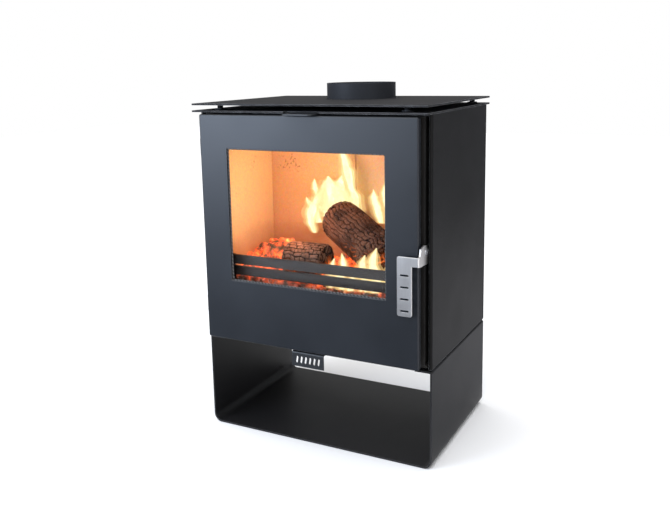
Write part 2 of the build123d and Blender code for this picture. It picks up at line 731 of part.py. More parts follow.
# ================================================================ door
# Outer panel: pressed tray with a window and four weld studs for the inner frame.
stud_x = door_half - frame_inset - 12.0
stud_z = frame_height / 2 - 30.0
stud = 4.0
with BuildPart() as door_panel:
    with BuildSketch(Plane.XZ.offset(door_face)):
        with Locations((0, door_mid)):
            RectangleRounded(2 * door_half, door_height, door_corner)
    extrude(amount=-door_tray)
    fillet(door_panel.faces().sort_by(Axis.Y)[0].edges(), radius=door_edge)
    with BuildSketch(Plane.XZ.offset(door_rim)):
        with Locations((0, door_mid)):
            Rectangle(2 * (door_half - sheet), door_height - 2 * sheet)
    extrude(amount=door_tray - sheet, mode=Mode.SUBTRACT)
    with BuildSketch(Plane.XZ.offset(door_face)):
        with Locations((0, window_mid)):
            RectangleRounded(2 * window_half, window_height, window_corner)
    extrude(amount=-sheet, mode=Mode.SUBTRACT)
    with BuildSketch(Plane.XZ.offset(door_face - sheet)):
        with Locations((0, door_mid)):
            with GridLocations(2 * stud_x, 2 * stud_z, 2, 2):
                Circle(stud)
    extrude(amount=web_front - door_face + sheet)
door_panel.part.label = "door_panel"
export_step(door_panel.part, "parts/door_panel.step")

# Inner frame: web plate with the aperture for the glass and a channel for the rope.
aperture_w = 2 * (window_half + sight_margin)
aperture_h = window_height + 2 * sight_margin
rope_depth = web_back - half_depth - rope_gap
clip_screw_inset = 4.2                       # aperture's edge to the clip screws
clip_spacing = 75.0                          # window's middle to the side clips
clip_screw_x = aperture_w / 2 + clip_screw_inset
clip_screw_z = aperture_h / 2 + clip_screw_inset
frame_corner = 6.0
channel_corner = 7.0
channel_under = 2.5                          # rope stands this far out of its channel
clip_heights = (window_mid - clip_spacing, window_mid + clip_spacing)
clip_points = [(side * clip_screw_x, z) for side in (-1, 1) for z in clip_heights]
clip_points += [(0, window_mid + side * clip_screw_z) for side in (-1, 1)]
with BuildPart() as door_inner_frame:
    with BuildSketch(Plane.XZ.offset(web_front)):
        with Locations((0, door_mid)):
            RectangleRounded(frame_width, frame_height, frame_corner)
        with Locations((0, window_mid)):
            RectangleRounded(aperture_w, aperture_h, frame_corner, mode=Mode.SUBTRACT)
        with Locations(*clip_points):
            Circle(screw + seat_fit, mode=Mode.SUBTRACT)
    extrude(amount=-sheet)
    with BuildSketch(Plane.XZ.offset(web_back)):
        with Locations((0, door_mid)):
            for half_gap in (channel / 2, -channel / 2 - sheet):
                outer_w = rope_w + 2 * (half_gap + sheet)
                outer_h = rope_h + 2 * (half_gap + sheet)
                RectangleRounded(outer_w, outer_h, channel_corner + sheet)
                inner_w = rope_w + 2 * half_gap
                inner_h = rope_h + 2 * half_gap
                RectangleRounded(inner_w, inner_h, channel_corner, mode=Mode.SUBTRACT)
    extrude(amount=-(rope_depth - channel_under))
door_inner_frame.part.label = "door_inner_frame"
export_step(door_inner_frame.part, "parts/door_inner_frame.step")

# Rope seal, squashed into its channel with a rounded sealing edge.
rope_corner_outer = 8.0
rope_corner_inner = 2.0
rope_round = 1.8
with BuildPart() as door_rope_seal:
    with BuildSketch(Plane.XZ.offset(web_back)):
        with Locations((0, door_mid)):
            RectangleRounded(rope_w + rope_width, rope_h + rope_width, rope_corner_outer)
            RectangleRounded(
                rope_w - rope_width,
                rope_h - rope_width,
                rope_corner_inner,
                mode=Mode.SUBTRACT,
            )
    extrude(amount=-rope_depth)
    fillet(door_rope_seal.faces().sort_by(Axis.Y)[-1].edges(), radius=rope_round)
door_rope_seal.part.label = "door_rope_seal"
export_step(door_rope_seal.part, "parts/door_rope_seal.step")

# Window: flat ceramic glass bedded on a tape gasket and held by clips from behind.
glass_w = 2 * (window_half + glass_lap)
glass_h = window_height + 2 * glass_lap
glass_front = door_face - sheet - gasket_thickness
glass_corner = 3.0
glass_edge = 0.4                             # ground edge of the glass
gasket_show = 2.0                            # gasket seen inside the window's edge
sight_w = 2 * (window_half - gasket_show)
sight_h = window_height - 2 * gasket_show
with BuildPart() as glass_gasket:
    with BuildSketch(Plane.XZ.offset(door_face - sheet)):
        with Locations((0, window_mid)):
            RectangleRounded(glass_w, glass_h, glass_corner)
            RectangleRounded(sight_w, sight_h, window_corner, mode=Mode.SUBTRACT)
    extrude(amount=-gasket_thickness)
glass_gasket.part.label = "glass_gasket"
export_step(glass_gasket.part, "parts/glass_gasket.step")

with BuildPart() as door_glass:
    with BuildSketch(Plane.XZ.offset(glass_front)):
        with Locations((0, window_mid)):
            RectangleRounded(glass_w, glass_h, glass_corner)
    extrude(amount=-glass_thickness)
    glass_rim = door_glass.edges().filter_by(GeomType.LINE).filter_by(Axis.Y, reverse=True)
    chamfer(glass_rim, length=glass_edge)
door_glass.part.label = "door_glass"
export_step(door_glass.part, "parts/door_glass.step")

clip_front = glass_front - glass_thickness
clip_reach = 5.0                             # clips over the glass
clip_length = 26.0
clip_lap = 7.6                               # clips beyond the aperture's edge
clip_screw_head = 1.8
clip_in = glass_w / 2 - clip_reach
clip_out = aperture_w / 2 + clip_lap
clip_w = clip_out - clip_in
clip_x = (clip_in + clip_out) / 2
clip_top = (glass_h + clip_w) / 2 - clip_reach
with BuildPart() as glass_clips:
    with BuildSketch(Plane.XZ.offset(clip_front)):
        with Locations(*[(side * clip_x, z) for side in (-1, 1) for z in clip_heights]):
            Rectangle(clip_w, clip_length)
        with Locations(*[(0, window_mid + side * clip_top) for side in (-1, 1)]):
            Rectangle(clip_length, clip_w)
        with Locations(*clip_points):
            Circle(screw + seat_fit, mode=Mode.SUBTRACT)
    extrude(amount=-(clip_front - web_front))
glass_clips.part.label = "glass_clips"
export_step(glass_clips.part, "parts/glass_clips.step")

with BuildPart() as glass_clip_screws:
    with BuildSketch(Plane.XZ.offset(web_back)):
        with Locations(*clip_points):
            Circle(screw_head)
    extrude(amount=-clip_screw_head)
    with BuildSketch(Plane.XZ.offset(web_back)):
        with Locations(*clip_points):
            Circle(screw)
    extrude(amount=clip_front - web_back - air_gap)
glass_clip_screws.part.label = "glass_clip_screws"
export_step(glass_clip_screws.part, "parts/glass_clip_screws.step")

# ================================================================ door hinges
# Lift-off hinges behind the door's left edge: body bracket below, door lug above, one pin.
hinge_out = 5.0                              # door's edge to the hinge axis
hinge_inside = 0.8                           # knuckles behind the door's rim
hinge_x = -door_half - hinge_out
hinge_y = -(door_rim - hinge_radius - hinge_inside)
pin_head = 1.5                               # overhang of the pin's head
pin_head_height = 2.0
pin_head_round = 0.8
bracket_depth = 36.0
bracket_bolt = 2.5
bracket_bolt_head = 4.2
bracket_bolt_head_height = 2.4
bracket_bolt_y = [fire_front + 8.0, fire_front + 22.0]
for name, knuckle_z in (("lower", door_z0 + hinge_inset), ("upper", door_z1 - hinge_inset - 2 * knuckle)):
    with BuildPart() as hinge_bracket:
        with BuildSketch(Plane.XY.offset(knuckle_z)):
            with Locations((hinge_x, hinge_y)):
                Circle(hinge_radius)
            bracket_rear = fire_front + bracket_depth - plate
            with Locations((-fire_out - sheet / 2, (hinge_y + bracket_rear) / 2)):
                Rectangle(sheet, bracket_rear - hinge_y)
            with Locations((hinge_x, hinge_y)):
                Circle(hinge_pin + seat_fit, mode=Mode.SUBTRACT)
        extrude(amount=knuckle)
        with BuildSketch(Plane.YZ.offset(-fire_out)):
            with Locations(*[(y, knuckle_z + knuckle / 2) for y in bracket_bolt_y]):
                Circle(bracket_bolt + seat_fit)
        extrude(amount=-sheet, mode=Mode.SUBTRACT)
    hinge_bracket.part.label = f"hinge_bracket_{name}"
    export_step(hinge_bracket.part, f"parts/hinge_bracket_{name}.step")

    lug_z = knuckle_z + knuckle + air_gap
    with BuildPart() as hinge_lug:
        with BuildSketch(Plane.XY.offset(lug_z)):
            with Locations((hinge_x, hinge_y)):
                Circle(hinge_radius)
            with Locations(((hinge_x - frame_width / 2) / 2, -(web_front + web_back) / 2)):
                Rectangle(-hinge_x - frame_width / 2, sheet)
            with Locations((hinge_x, hinge_y)):
                Circle(hinge_pin + run_fit, mode=Mode.SUBTRACT)
        extrude(amount=knuckle)
    hinge_lug.part.label = f"hinge_lug_{name}"
    export_step(hinge_lug.part, f"parts/hinge_lug_{name}.step")

    with BuildPart() as hinge_pin_piece:
        with BuildSketch(Plane.XY.offset(knuckle_z)):
            with Locations((hinge_x, hinge_y)):
                Circle(hinge_pin)
        extrude(amount=2 * knuckle + 2 * air_gap)
        with BuildSketch(Plane.XY.offset(lug_z + knuckle + air_gap)):
            with Locations((hinge_x, hinge_y)):
                Circle(hinge_pin + pin_head)
        extrude(amount=pin_head_height)
        fillet(hinge_pin_piece.faces().sort_by(Axis.Z)[-1].edges(), radius=pin_head_round)
    hinge_pin_piece.part.label = f"hinge_pin_{name}"
    export_step(hinge_pin_piece.part, f"parts/hinge_pin_{name}.step")

bolt_z = [door_z0 + hinge_inset + knuckle / 2, door_z1 - hinge_inset - 1.5 * knuckle]
with BuildPart() as hinge_bolts:
    with BuildSketch(Plane.YZ.offset(-fire_out - sheet)):
        with Locations(*[(y, z) for y in bracket_bolt_y for z in bolt_z]):
            Circle(bracket_bolt_head)
    extrude(amount=-bracket_bolt_head_height)
    with BuildSketch(Plane.YZ.offset(-fire_out - sheet)):
        with Locations(*[(y, z) for y in bracket_bolt_y for z in bolt_z]):
            Circle(bracket_bolt)
    extrude(amount=sheet)
hinge_bolts.part.label = "hinge_bolts"
export_step(hinge_bolts.part, "parts/hinge_bolts.step")

# ================================================================ handle and latch
# Welded lug on the inner frame, with the pivot across it.
pivot_y = -(web_back - 1.0)
pivot_z = body_z + pivot_height
pivot = 3.0
lug_height = 16.0
lug_step = 1.5                               # lug in front of the inner frame
pivot_start = 1.0                            # pin's end inside the lug
pivot_head = 4.8
pivot_head_height = 1.6
pivot_head_round = 0.8
hex_socket = 1.5
hex_socket_depth = 1.0
washer = 6.0
handle_x = door_half + 4.0                   # inner face of the handle's side plate
washer_thickness = 0.5
lug_outer = handle_x - washer_thickness
lug_inner = rope_w / 2 + channel / 2 + sheet
lug_clear = frame_width / 2 + air_gap
lug_rear = -(half_depth + 2.5)
with BuildPart() as handle_lug:
    with BuildSketch(Plane.XY.offset(pivot_z - lug_height / 2)):
        with Locations(((lug_inner + lug_outer) / 2, (lug_rear - web_back) / 2)):
            Rectangle(lug_outer - lug_inner, lug_rear + web_back)
        with Locations(((lug_clear + lug_outer) / 2, (lug_rear - web_front - lug_step) / 2)):
            Rectangle(lug_outer - lug_clear, lug_rear + web_front + lug_step)
    extrude(amount=lug_height)
    with BuildSketch(Plane.YZ.offset(lug_outer)):
        with Locations((pivot_y, pivot_z)):
            Circle(pivot + seat_fit)
    extrude(amount=lug_clear - lug_outer, mode=Mode.SUBTRACT)
handle_lug.part.label = "handle_lug"
export_step(handle_lug.part, "parts/handle_lug.step")

with BuildPart() as handle_washer:
    with BuildSketch(Plane.YZ.offset(lug_outer)):
        with Locations((pivot_y, pivot_z)):
            Circle(washer)
            Circle(pivot + air_gap, mode=Mode.SUBTRACT)
    extrude(amount=washer_thickness)
handle_washer.part.label = "handle_washer"
export_step(handle_washer.part, "parts/handle_washer.step")

handle_outer = handle_x + handle_sheet
head_play = 0.1                              # pivot head to the handle
head_x = handle_outer + head_play
with BuildPart() as handle_pivot_screw:
    with BuildSketch(Plane.YZ.offset(lug_clear + pivot_start)):
        with Locations((pivot_y, pivot_z)):
            Circle(pivot)
    extrude(amount=head_x - lug_clear - pivot_start)
    with BuildSketch(Plane.YZ.offset(head_x)):
        with Locations((pivot_y, pivot_z)):
            Circle(pivot_head)
    extrude(amount=pivot_head_height)
    fillet(handle_pivot_screw.faces().sort_by(Axis.X)[-1].edges(), radius=pivot_head_round)
    with BuildSketch(Plane.YZ.offset(head_x + pivot_head_height)):
        with Locations((pivot_y, pivot_z)):
            RegularPolygon(radius=hex_socket, side_count=6, major_radius=False)
    extrude(amount=-hex_socket_depth, mode=Mode.SUBTRACT)
handle_pivot_screw.part.label = "handle_pivot_screw"
export_step(handle_pivot_screw.part, "parts/handle_pivot_screw.step")

# Handle: slotted grip plate, an arm round the door's edge and a side plate on the pivot.
roller = 4.0
roller_pin = 2.0
roller_set_back = 5.0                        # roller behind the side panel's front fold
tail_gap = 2.0                               # the tail draws up to this from the roller
roller_y = roller + roller_set_back - half_depth
roller_z = pivot_z - 2.0
tail_y = roller_y - roller - tail_gap
handle_face = door_face + handle_stand_off
arm_top = pivot_z - 3.0
arm_z = arm_top - handle_arm
grip_x = door_half - 18.5                    # middle of the grip plate
grip_slots = 4
grip_slot_pitch = 19.4
slot_drop = 30.0                             # arm's top to the first slot
grip_slot_length = 15.0
grip_slot_width = 3.4
grip_corner = 3.5
handle_edge = 0.4                            # broken edge of the handle's face
plate_outline = [
    (-handle_face, arm_z),
    (-handle_face, arm_top),
    (-handle_face + 6.0, arm_top + 2.0),
    (-handle_face + 9.0, arm_top + 12.0),
    (pivot_y - 6.0, pivot_z + 13.0),
    (pivot_y + 6.0, pivot_z + 10.0),
    (tail_y, pivot_z - 6.0),
    (tail_y - 2.0, arm_z - 2.0),
    (-handle_face + 8.0, arm_z - 1.0),
]
with BuildPart() as door_handle:
    with BuildSketch(Plane.YZ.offset(handle_x)):
        Polygon(*plate_outline, align=None)
        with Locations((pivot_y, pivot_z)):
            Circle(pivot + run_fit, mode=Mode.SUBTRACT)
    extrude(amount=handle_sheet)
    with BuildSketch(Plane.XZ.offset(handle_face)):
        with Locations(((grip_x + handle_outer) / 2, (arm_z + arm_top) / 2)):
            Rectangle(handle_outer - grip_x, handle_arm)
        with Locations((grip_x, arm_top - handle_length / 2)):
            RectangleRounded(handle_width, handle_length, grip_corner)
        for row in range(grip_slots):
            with Locations((grip_x, arm_top - slot_drop - row * grip_slot_pitch)):
                SlotOverall(grip_slot_length, grip_slot_width, mode=Mode.SUBTRACT)
    extrude(amount=-handle_sheet)
    wrap_edge = door_handle.edges().filter_by(Axis.Z).group_by(Axis.Y)[0].sort_by(Axis.X)[-1]
    fillet(wrap_edge, radius=handle_sheet)
    grip_face = door_handle.faces().filter_by(Axis.Y).sort_by(Axis.Y)[0]
    chamfer(grip_face.outer_wire().edges(), length=handle_edge)
door_handle.part.label = "door_handle"
export_step(door_handle.part, "parts/door_handle.step")

# Catch on the body: a bracket with a roller that the tail of the handle draws up to.
latch_plate = 1.5
latch_bracket_depth = 26.0
latch_bracket_height = 22.0
latch_end_play = 1.0                         # catch pin to the side panel
latch_pin_head = 1.2                         # overhang and height of the pin's head
with BuildPart() as latch_bracket:
    with BuildSketch(Plane.YZ.offset(fire_out)):
        with Locations((fire_front + latch_bracket_depth / 2, roller_z)):
            Rectangle(latch_bracket_depth, latch_bracket_height)
        with Locations((roller_y, roller_z)):
            Circle(roller_pin + seat_fit, mode=Mode.SUBTRACT)
    extrude(amount=latch_plate)
latch_bracket.part.label = "latch_bracket"
export_step(latch_bracket.part, "parts/latch_bracket.step")

latch_reach = half_width - sheet - fire_out - latch_plate - latch_end_play
latch_shank = latch_reach - 1.5
with BuildPart() as latch_pin:
    with BuildSketch(Plane.YZ.offset(fire_out)):
        with Locations((roller_y, roller_z)):
            Circle(roller_pin)
    extrude(amount=latch_plate + latch_shank)
    with BuildSketch(Plane.YZ.offset(fire_out + latch_plate + latch_shank)):
        with Locations((roller_y, roller_z)):
            Circle(roller_pin + latch_pin_head)
    extrude(amount=latch_pin_head)
latch_pin.part.label = "latch_pin"
export_step(latch_pin.part, "parts/latch_pin.step")

with BuildPart() as latch_roller:
    with BuildSketch(Plane.YZ.offset(fire_out + latch_plate + air_gap)):
        with Locations((roller_y, roller_z)):
            Circle(roller)
            Circle(roller_pin + run_fit, mode=Mode.SUBTRACT)
    extrude(amount=latch_shank - 2 * air_gap)
latch_roller.part.label = "latch_roller"
export_step(latch_roller.part, "parts/latch_roller.step")
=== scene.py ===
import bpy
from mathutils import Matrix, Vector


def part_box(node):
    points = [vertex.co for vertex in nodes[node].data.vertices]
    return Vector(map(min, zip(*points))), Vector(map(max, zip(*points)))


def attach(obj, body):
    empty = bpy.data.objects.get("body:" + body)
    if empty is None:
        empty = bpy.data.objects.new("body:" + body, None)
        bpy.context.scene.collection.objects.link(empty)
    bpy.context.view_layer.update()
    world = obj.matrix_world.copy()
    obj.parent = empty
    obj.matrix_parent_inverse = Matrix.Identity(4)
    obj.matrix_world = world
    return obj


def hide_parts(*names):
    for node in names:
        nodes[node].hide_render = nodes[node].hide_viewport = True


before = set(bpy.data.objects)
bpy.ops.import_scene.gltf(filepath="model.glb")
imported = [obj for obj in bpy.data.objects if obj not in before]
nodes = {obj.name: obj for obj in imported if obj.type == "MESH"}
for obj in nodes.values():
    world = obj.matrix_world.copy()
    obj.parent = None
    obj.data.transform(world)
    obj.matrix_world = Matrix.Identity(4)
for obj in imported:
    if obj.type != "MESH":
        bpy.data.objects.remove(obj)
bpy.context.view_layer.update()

import bmesh
import bpy
import math
from mathutils import Matrix, Vector, noise

# ---------------------------------------------------------------- log store
# The log store is one sheet of 3 mm steel folded into a U, open at the front and the back.
# It is sprayed with heat-resistant stove paint, which dries satin with a very fine tooth.


def add_node(tree, kind, values=None, **settings):
    """One shader or geometry node, with its sockets set or linked."""
    node = tree.nodes.new(kind)
    for key, value in settings.items():
        setattr(node, key, value)
    for key, value in (values or {}).items():
        if isinstance(value, bpy.types.NodeSocket):
            tree.links.new(value, node.inputs[key])
        else:
            node.inputs[key].default_value = value
    return node


def new_finish(name, **constants):
    """A material with its plain numbers set on the shader's own sockets."""
    material = bpy.data.materials.new(name)
    material.use_nodes = True
    tree = material.node_tree
    surface = tree.nodes["Principled BSDF"]
    for key, value in constants.items():
        surface.inputs[key.replace("_", " ")].default_value = value
    return material, tree, surface


def new_group(name, kind, inputs, outputs):
    """A node group with named inputs (socket kind, first value) and named outputs."""
    group = bpy.data.node_groups.new(name, kind)
    for label, (socket, value) in inputs.items():
        made = group.interface.new_socket(label, in_out="INPUT", socket_type=socket)
        if value is not None:
            made.default_value = value
    for label, socket in outputs.items():
        group.interface.new_socket(label, in_out="OUTPUT", socket_type=socket)
    start = group.nodes.new("NodeGroupInput")
    end = group.nodes.new("NodeGroupOutput")
    return group, start, end


def place_group(tree, group, values):
    """A shader node group in a material, with its own values."""
    node = tree.nodes.new("ShaderNodeGroup")
    node.node_tree = group
    for key, value in values.items():
        node.inputs[key].default_value = value
    return node


def give(material, *names):
    """Puts one finish on CAD nodes."""
    for name in names:
        for slot in nodes[name].material_slots:
            slot.material = material


paint_coat, start, end = new_group(
    "paint_coat",
    "ShaderNodeTree",
    {
        "Colour": ("NodeSocketColor", (0.02, 0.02, 0.022, 1)),
        "Roughness": ("NodeSocketFloat", 0.45),
        "Cloudiness": ("NodeSocketFloat", 0.15),
        "Dust": ("NodeSocketFloat", 0.1),
        # The edge input sets the strength of the painted highlight on the edges.
        "Edge wear": ("NodeSocketFloat", 0.15),
        "Edge width": ("NodeSocketFloat", 0.0008),
        "Tooth": ("NodeSocketFloat", 0.05),
    },
    {"Colour": "NodeSocketColor", "Roughness": "NodeSocketFloat", "Normal": "NodeSocketVector"},
)
place = add_node(paint_coat, "ShaderNodeTexCoord").outputs["Object"]
cloud = add_node(paint_coat, "ShaderNodeTexNoise", {"Vector": place, "Scale": 6.0, "Detail": 4.0})
tooth = add_node(paint_coat, "ShaderNodeTexNoise", {"Vector": place, "Scale": 1500.0, "Detail": 2.0})
fleck = add_node(paint_coat, "ShaderNodeTexNoise", {"Vector": place, "Scale": 420.0, "Detail": 3.0})
specks = add_node(
    paint_coat, "ShaderNodeMapRange",
    {"Value": fleck.outputs["Fac"], "From Min": 0.66, "From Max": 0.74},
)
cloud_shift = add_node(
    paint_coat, "ShaderNodeMapRange",
    {"Value": cloud.outputs["Fac"], "From Min": 0.3, "From Max": 0.7, "To Min": -1.0, "To Max": 1.0},
)
cloud_amount = add_node(
    paint_coat, "ShaderNodeMath",
    {0: cloud_shift.outputs["Result"], 1: start.outputs["Cloudiness"]}, operation="MULTIPLY",
)
shade = add_node(paint_coat, "ShaderNodeMath", {0: cloud_amount.outputs[0], 1: 1.0}, operation="ADD")
clouded = add_node(
    paint_coat, "ShaderNodeVectorMath",
    {0: start.outputs["Colour"], "Scale": shade.outputs[0]}, operation="SCALE",
)
dust_mask = add_node(
    paint_coat, "ShaderNodeMath",
    {0: specks.outputs["Result"], 1: start.outputs["Dust"]}, operation="MULTIPLY",
)
dusty = add_node(
    paint_coat, "ShaderNodeMixRGB",
    {"Fac": dust_mask.outputs[0], "Color1": clouded.outputs[0], "Color2": (0.16, 0.155, 0.15, 1)},
)
# Rounded edges, with a painted highlight: the colour is mixed towards a pale grey along them, broken up by
# noise.
round_edge = add_node(paint_coat, "ShaderNodeBevel", {"Radius": start.outputs["Edge width"]}, samples=4)
true_face = add_node(paint_coat, "ShaderNodeNewGeometry")
turn = add_node(
    paint_coat, "ShaderNodeVectorMath",
    {0: round_edge.outputs["Normal"], 1: true_face.outputs["Normal"]}, operation="DOT_PRODUCT",
)
edge = add_node(
    paint_coat, "ShaderNodeMapRange",
    {"Value": turn.outputs["Value"], "From Min": 0.99, "From Max": 0.75},
)
breakup_noise = add_node(paint_coat, "ShaderNodeTexNoise", {"Vector": place, "Scale": 60.0, "Detail": 3.0})
highlight_breakup = add_node(
    paint_coat, "ShaderNodeMapRange",
    {"Value": breakup_noise.outputs["Fac"], "From Min": 0.35, "From Max": 0.65, "To Min": 0.35},
)
broken_edge_highlight = add_node(
    paint_coat, "ShaderNodeMath", {0: edge.outputs["Result"], 1: highlight_breakup.outputs["Result"]},
    operation="MULTIPLY",
)
edge_highlight_mask = add_node(
    paint_coat, "ShaderNodeMath", {0: broken_edge_highlight.outputs[0], 1: start.outputs["Edge wear"]},
    operation="MULTIPLY",
)
# The pale blue-grey that the edges are mixed towards is a painted highlight.
highlighted_edges = add_node(
    paint_coat, "ShaderNodeMixRGB",
    {"Fac": edge_highlight_mask.outputs[0], "Color1": dusty.outputs[0], "Color2": (0.42, 0.44, 0.47, 1)},
)
patchy = add_node(
    paint_coat, "ShaderNodeMath", {0: cloud_shift.outputs["Result"], 1: 0.04}, operation="MULTIPLY"
)
rough = add_node(
    paint_coat, "ShaderNodeMath", {0: patchy.outputs[0], 1: start.outputs["Roughness"]}, operation="ADD"
)
relief = add_node(
    paint_coat, "ShaderNodeBump",
    {
        "Height": tooth.outputs["Fac"], "Strength": start.outputs["Tooth"],
        "Distance": 0.0002, "Normal": round_edge.outputs["Normal"],
    },
)
results = {"Colour": highlighted_edges.outputs[0], "Roughness": rough.outputs[0], "Normal": relief.outputs[0]}
for label, socket in results.items():
    paint_coat.links.new(socket, end.inputs[label])


def stove_paint(name, colour, roughness, sheen, **values):
    """A sprayed finish on the paint_coat group. sheen is the shader's specular level."""
    material, tree, surface = new_finish(name, Specular_IOR_Level=sheen)
    worded = {key.replace("_", " "): value for key, value in values.items()}
    coat = place_group(tree, paint_coat, {"Colour": colour, "Roughness": roughness, **worded})
    tree.links.new(coat.outputs["Colour"], surface.inputs["Base Color"])
    tree.links.new(coat.outputs["Roughness"], surface.inputs["Roughness"])
    tree.links.new(coat.outputs["Normal"], surface.inputs["Normal"])
    return material


store_paint = stove_paint("store_paint", (0.010, 0.0098, 0.0108, 1), 0.48, 0.30, Dust=0.12)
give(store_paint, "log_store")

# ---------------------------------------------------------------- casing
# Side panels and back panel of 3 mm sheet, folded at the front, rear and foot, and screwed together.
# They carry the same satin stove paint, its colour darkened below the log store's as painted shade on the
# side panels, with a strong painted highlight along the cut and folded edges.
casing_paint = stove_paint(
    "casing_paint", (0.0050, 0.0047, 0.0048, 1), 0.46, 0.15, Dust=0.15,
    Edge_wear=0.6, Edge_width=0.0011,
)
give(casing_paint, "side_panel_left", "side_panel_right", "back_panel")

# ---------------------------------------------------------------- top plates and flue collar
# Two laser-cut plates with an air gap between them, held apart by four turned spacers.
# The paint on them is matt from the heat, with a painted highlight along their edges. The collar is rolled
# tube with a bolting flange.
plate_paint = stove_paint(
    "plate_paint", (0.017, 0.0165, 0.018, 1), 0.68, 0.12, Dust=0.25, Cloudiness=0.1,
    Edge_wear=1.0, Edge_width=0.0012,
)
give(plate_paint, "lower_top_plate", "upper_top_plate", "top_plate_spacers")
collar_paint = stove_paint("collar_paint", (0.02, 0.022, 0.027, 1), 0.55, 0.25, Dust=0.1)
give(collar_paint, "flue_collar")

# ---------------------------------------------------------------- firebox
# Welded box of 4 mm plate behind the casing, with the shelf that carries the fire and the
# deflector that sends air down the window. Heat has dulled its paint to a brown-black.
firebox_paint = stove_paint("firebox_paint", (0.016, 0.0145, 0.0135, 1), 0.7, 0.2, Dust=0.3, Cloudiness=0.3)
give(
    firebox_paint, "firebox_left", "firebox_right", "firebox_back", "firebox_top", "front_frame",
    "base_plate", "airwash_deflector", "grate_shelf", "brick_carrier",
)

# ---------------------------------------------------------------- grate, ash pan and fuel retainer
# The grate is cast iron with the skin of its sand mould. The ash pan is folded sheet, and
# the fuel retainer is two flat bars welded to end brackets, dull from the fire.
iron, tree, surface = new_finish("cast_iron", Metallic=0.6, Specular_IOR_Level=0.3, Roughness=0.75)
place = add_node(tree, "ShaderNodeTexCoord").outputs["Object"]
sand = add_node(tree, "ShaderNodeTexVoronoi", {"Vector": place, "Scale": 700.0})
scale_bloom = add_node(tree, "ShaderNodeTexNoise", {"Vector": place, "Scale": 35.0, "Detail": 5.0})
tint = add_node(
    tree, "ShaderNodeMixRGB",
    {
        "Fac": scale_bloom.outputs["Fac"],
        "Color1": (0.03, 0.026, 0.024, 1),
        "Color2": (0.10, 0.07, 0.055, 1),
    },
)
skin = add_node(
    tree, "ShaderNodeBump", {"Height": sand.outputs["Distance"], "Strength": 0.5, "Distance": 0.0004}
)
tree.links.new(tint.outputs[0], surface.inputs["Base Color"])
tree.links.new(skin.outputs[0], surface.inputs["Normal"])
give(iron, "grate")
bar_paint = stove_paint("bar_paint", (0.028, 0.022, 0.021, 1), 0.45, 0.35, Dust=0.1)
give(bar_paint, "fuel_retainer", "ash_pan")

# ---------------------------------------------------------------- fire lining
# Pressed vermiculite boards: a matt, pale, speckled board that stands loose in the firebox.
# The fire has scorched it in clouds, with dark specks, and it turns darker and redder just above the
# embers.


def vermiculite(name, scorched_colour, clean_colour):
    """Pressed board: flakes, scorch clouds and burnt specks."""
    material, tree, surface = new_finish(name, Specular_IOR_Level=0.1, Roughness=0.95)
    place = add_node(tree, "ShaderNodeTexCoord").outputs["Object"]
    scorch = add_node(tree, "ShaderNodeTexNoise", {"Vector": place, "Scale": 9.0, "Detail": 4.0})
    scorched = add_node(
        tree, "ShaderNodeMixRGB",
        {"Fac": scorch.outputs["Fac"], "Color1": scorched_colour, "Color2": clean_colour},
    )
    flake = add_node(tree, "ShaderNodeTexVoronoi", {"Vector": place, "Scale": 420.0})
    flaked = add_node(
        tree, "ShaderNodeMixRGB",
        {"Fac": 0.10, "Color1": scorched.outputs[0], "Color2": flake.outputs["Color"]},
    )
    spot = add_node(tree, "ShaderNodeTexNoise", {"Vector": place, "Scale": 210.0, "Detail": 2.0})
    patchy = add_node(tree, "ShaderNodeTexNoise", {"Vector": place, "Scale": 14.0, "Detail": 2.0})
    crowd = add_node(
        tree, "ShaderNodeMath", {0: spot.outputs["Fac"], 1: patchy.outputs["Fac"]}, operation="ADD"
    )
    spots = add_node(
        tree, "ShaderNodeMapRange",
        {"Value": crowd.outputs[0], "From Min": 1.25, "From Max": 1.31, "To Max": 0.6},
    )
    speckled = add_node(
        tree, "ShaderNodeMixRGB",
        {"Fac": spots.outputs["Result"], "Color1": flaked.outputs[0], "Color2": (0.20, 0.09, 0.05, 1)},
    )
    pits = add_node(
        tree, "ShaderNodeBump", {"Height": flake.outputs["Distance"], "Strength": 0.35, "Distance": 0.0006}
    )
    # The boards turn darker and redder low down, just above the embers, with a ragged edge.
    level = add_node(tree, "ShaderNodeSeparateXYZ", {0: place})
    ragged = add_node(
        tree, "ShaderNodeMath", {0: patchy.outputs["Fac"], 1: 0.06, 2: level.outputs["Z"]},
        operation="MULTIPLY_ADD",
    )
    low_darkening = add_node(
        tree, "ShaderNodeMapRange",
        {"Value": ragged.outputs[0], "From Min": 0.395, "From Max": 0.345, "To Max": 0.55},
    )
    darkened_low = add_node(
        tree, "ShaderNodeMixRGB",
        {"Fac": low_darkening.outputs["Result"], "Color1": speckled.outputs[0], "Color2": (0.28, 0.11, 0.05, 1)},
    )
    tree.links.new(darkened_low.outputs[0], surface.inputs["Base Color"])
    tree.links.new(pits.outputs[0], surface.inputs["Normal"])
    return material


give(
    vermiculite("side_board", (0.80, 0.62, 0.36, 1), (0.92, 0.74, 0.45, 1)),
    "side_brick_left", "side_brick_right",
)
give(
    vermiculite("back_board", (0.70, 0.43, 0.235, 1), (0.80, 0.51, 0.285, 1)),
    "back_brick_left", "back_brick_right", "baffle",
)

# ---------------------------------------------------------------- ember bed
# A heap of glowing charcoal on ash, deeper at the back. The heap is one mesh, and the loose
# lumps on it are scattered by Geometry Nodes and roughened after they are placed.
ember_low, ember_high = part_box("ember_bed")
bed_columns, bed_rows = 110, 60
bed_front_height, bed_back_height = 0.019, 0.031
peak_x, peak_y, peak_width, peak_depth = -0.138, -0.026, 0.047, 0.052
peak_below_top = 0.004
hollow_x, hollow_y, hollow_width, hollow_depth = 0.03, -0.08, 0.11, 0.06
hollow_under_logs = 0.006
lump_height = 0.0045
bed_margin = 0.002


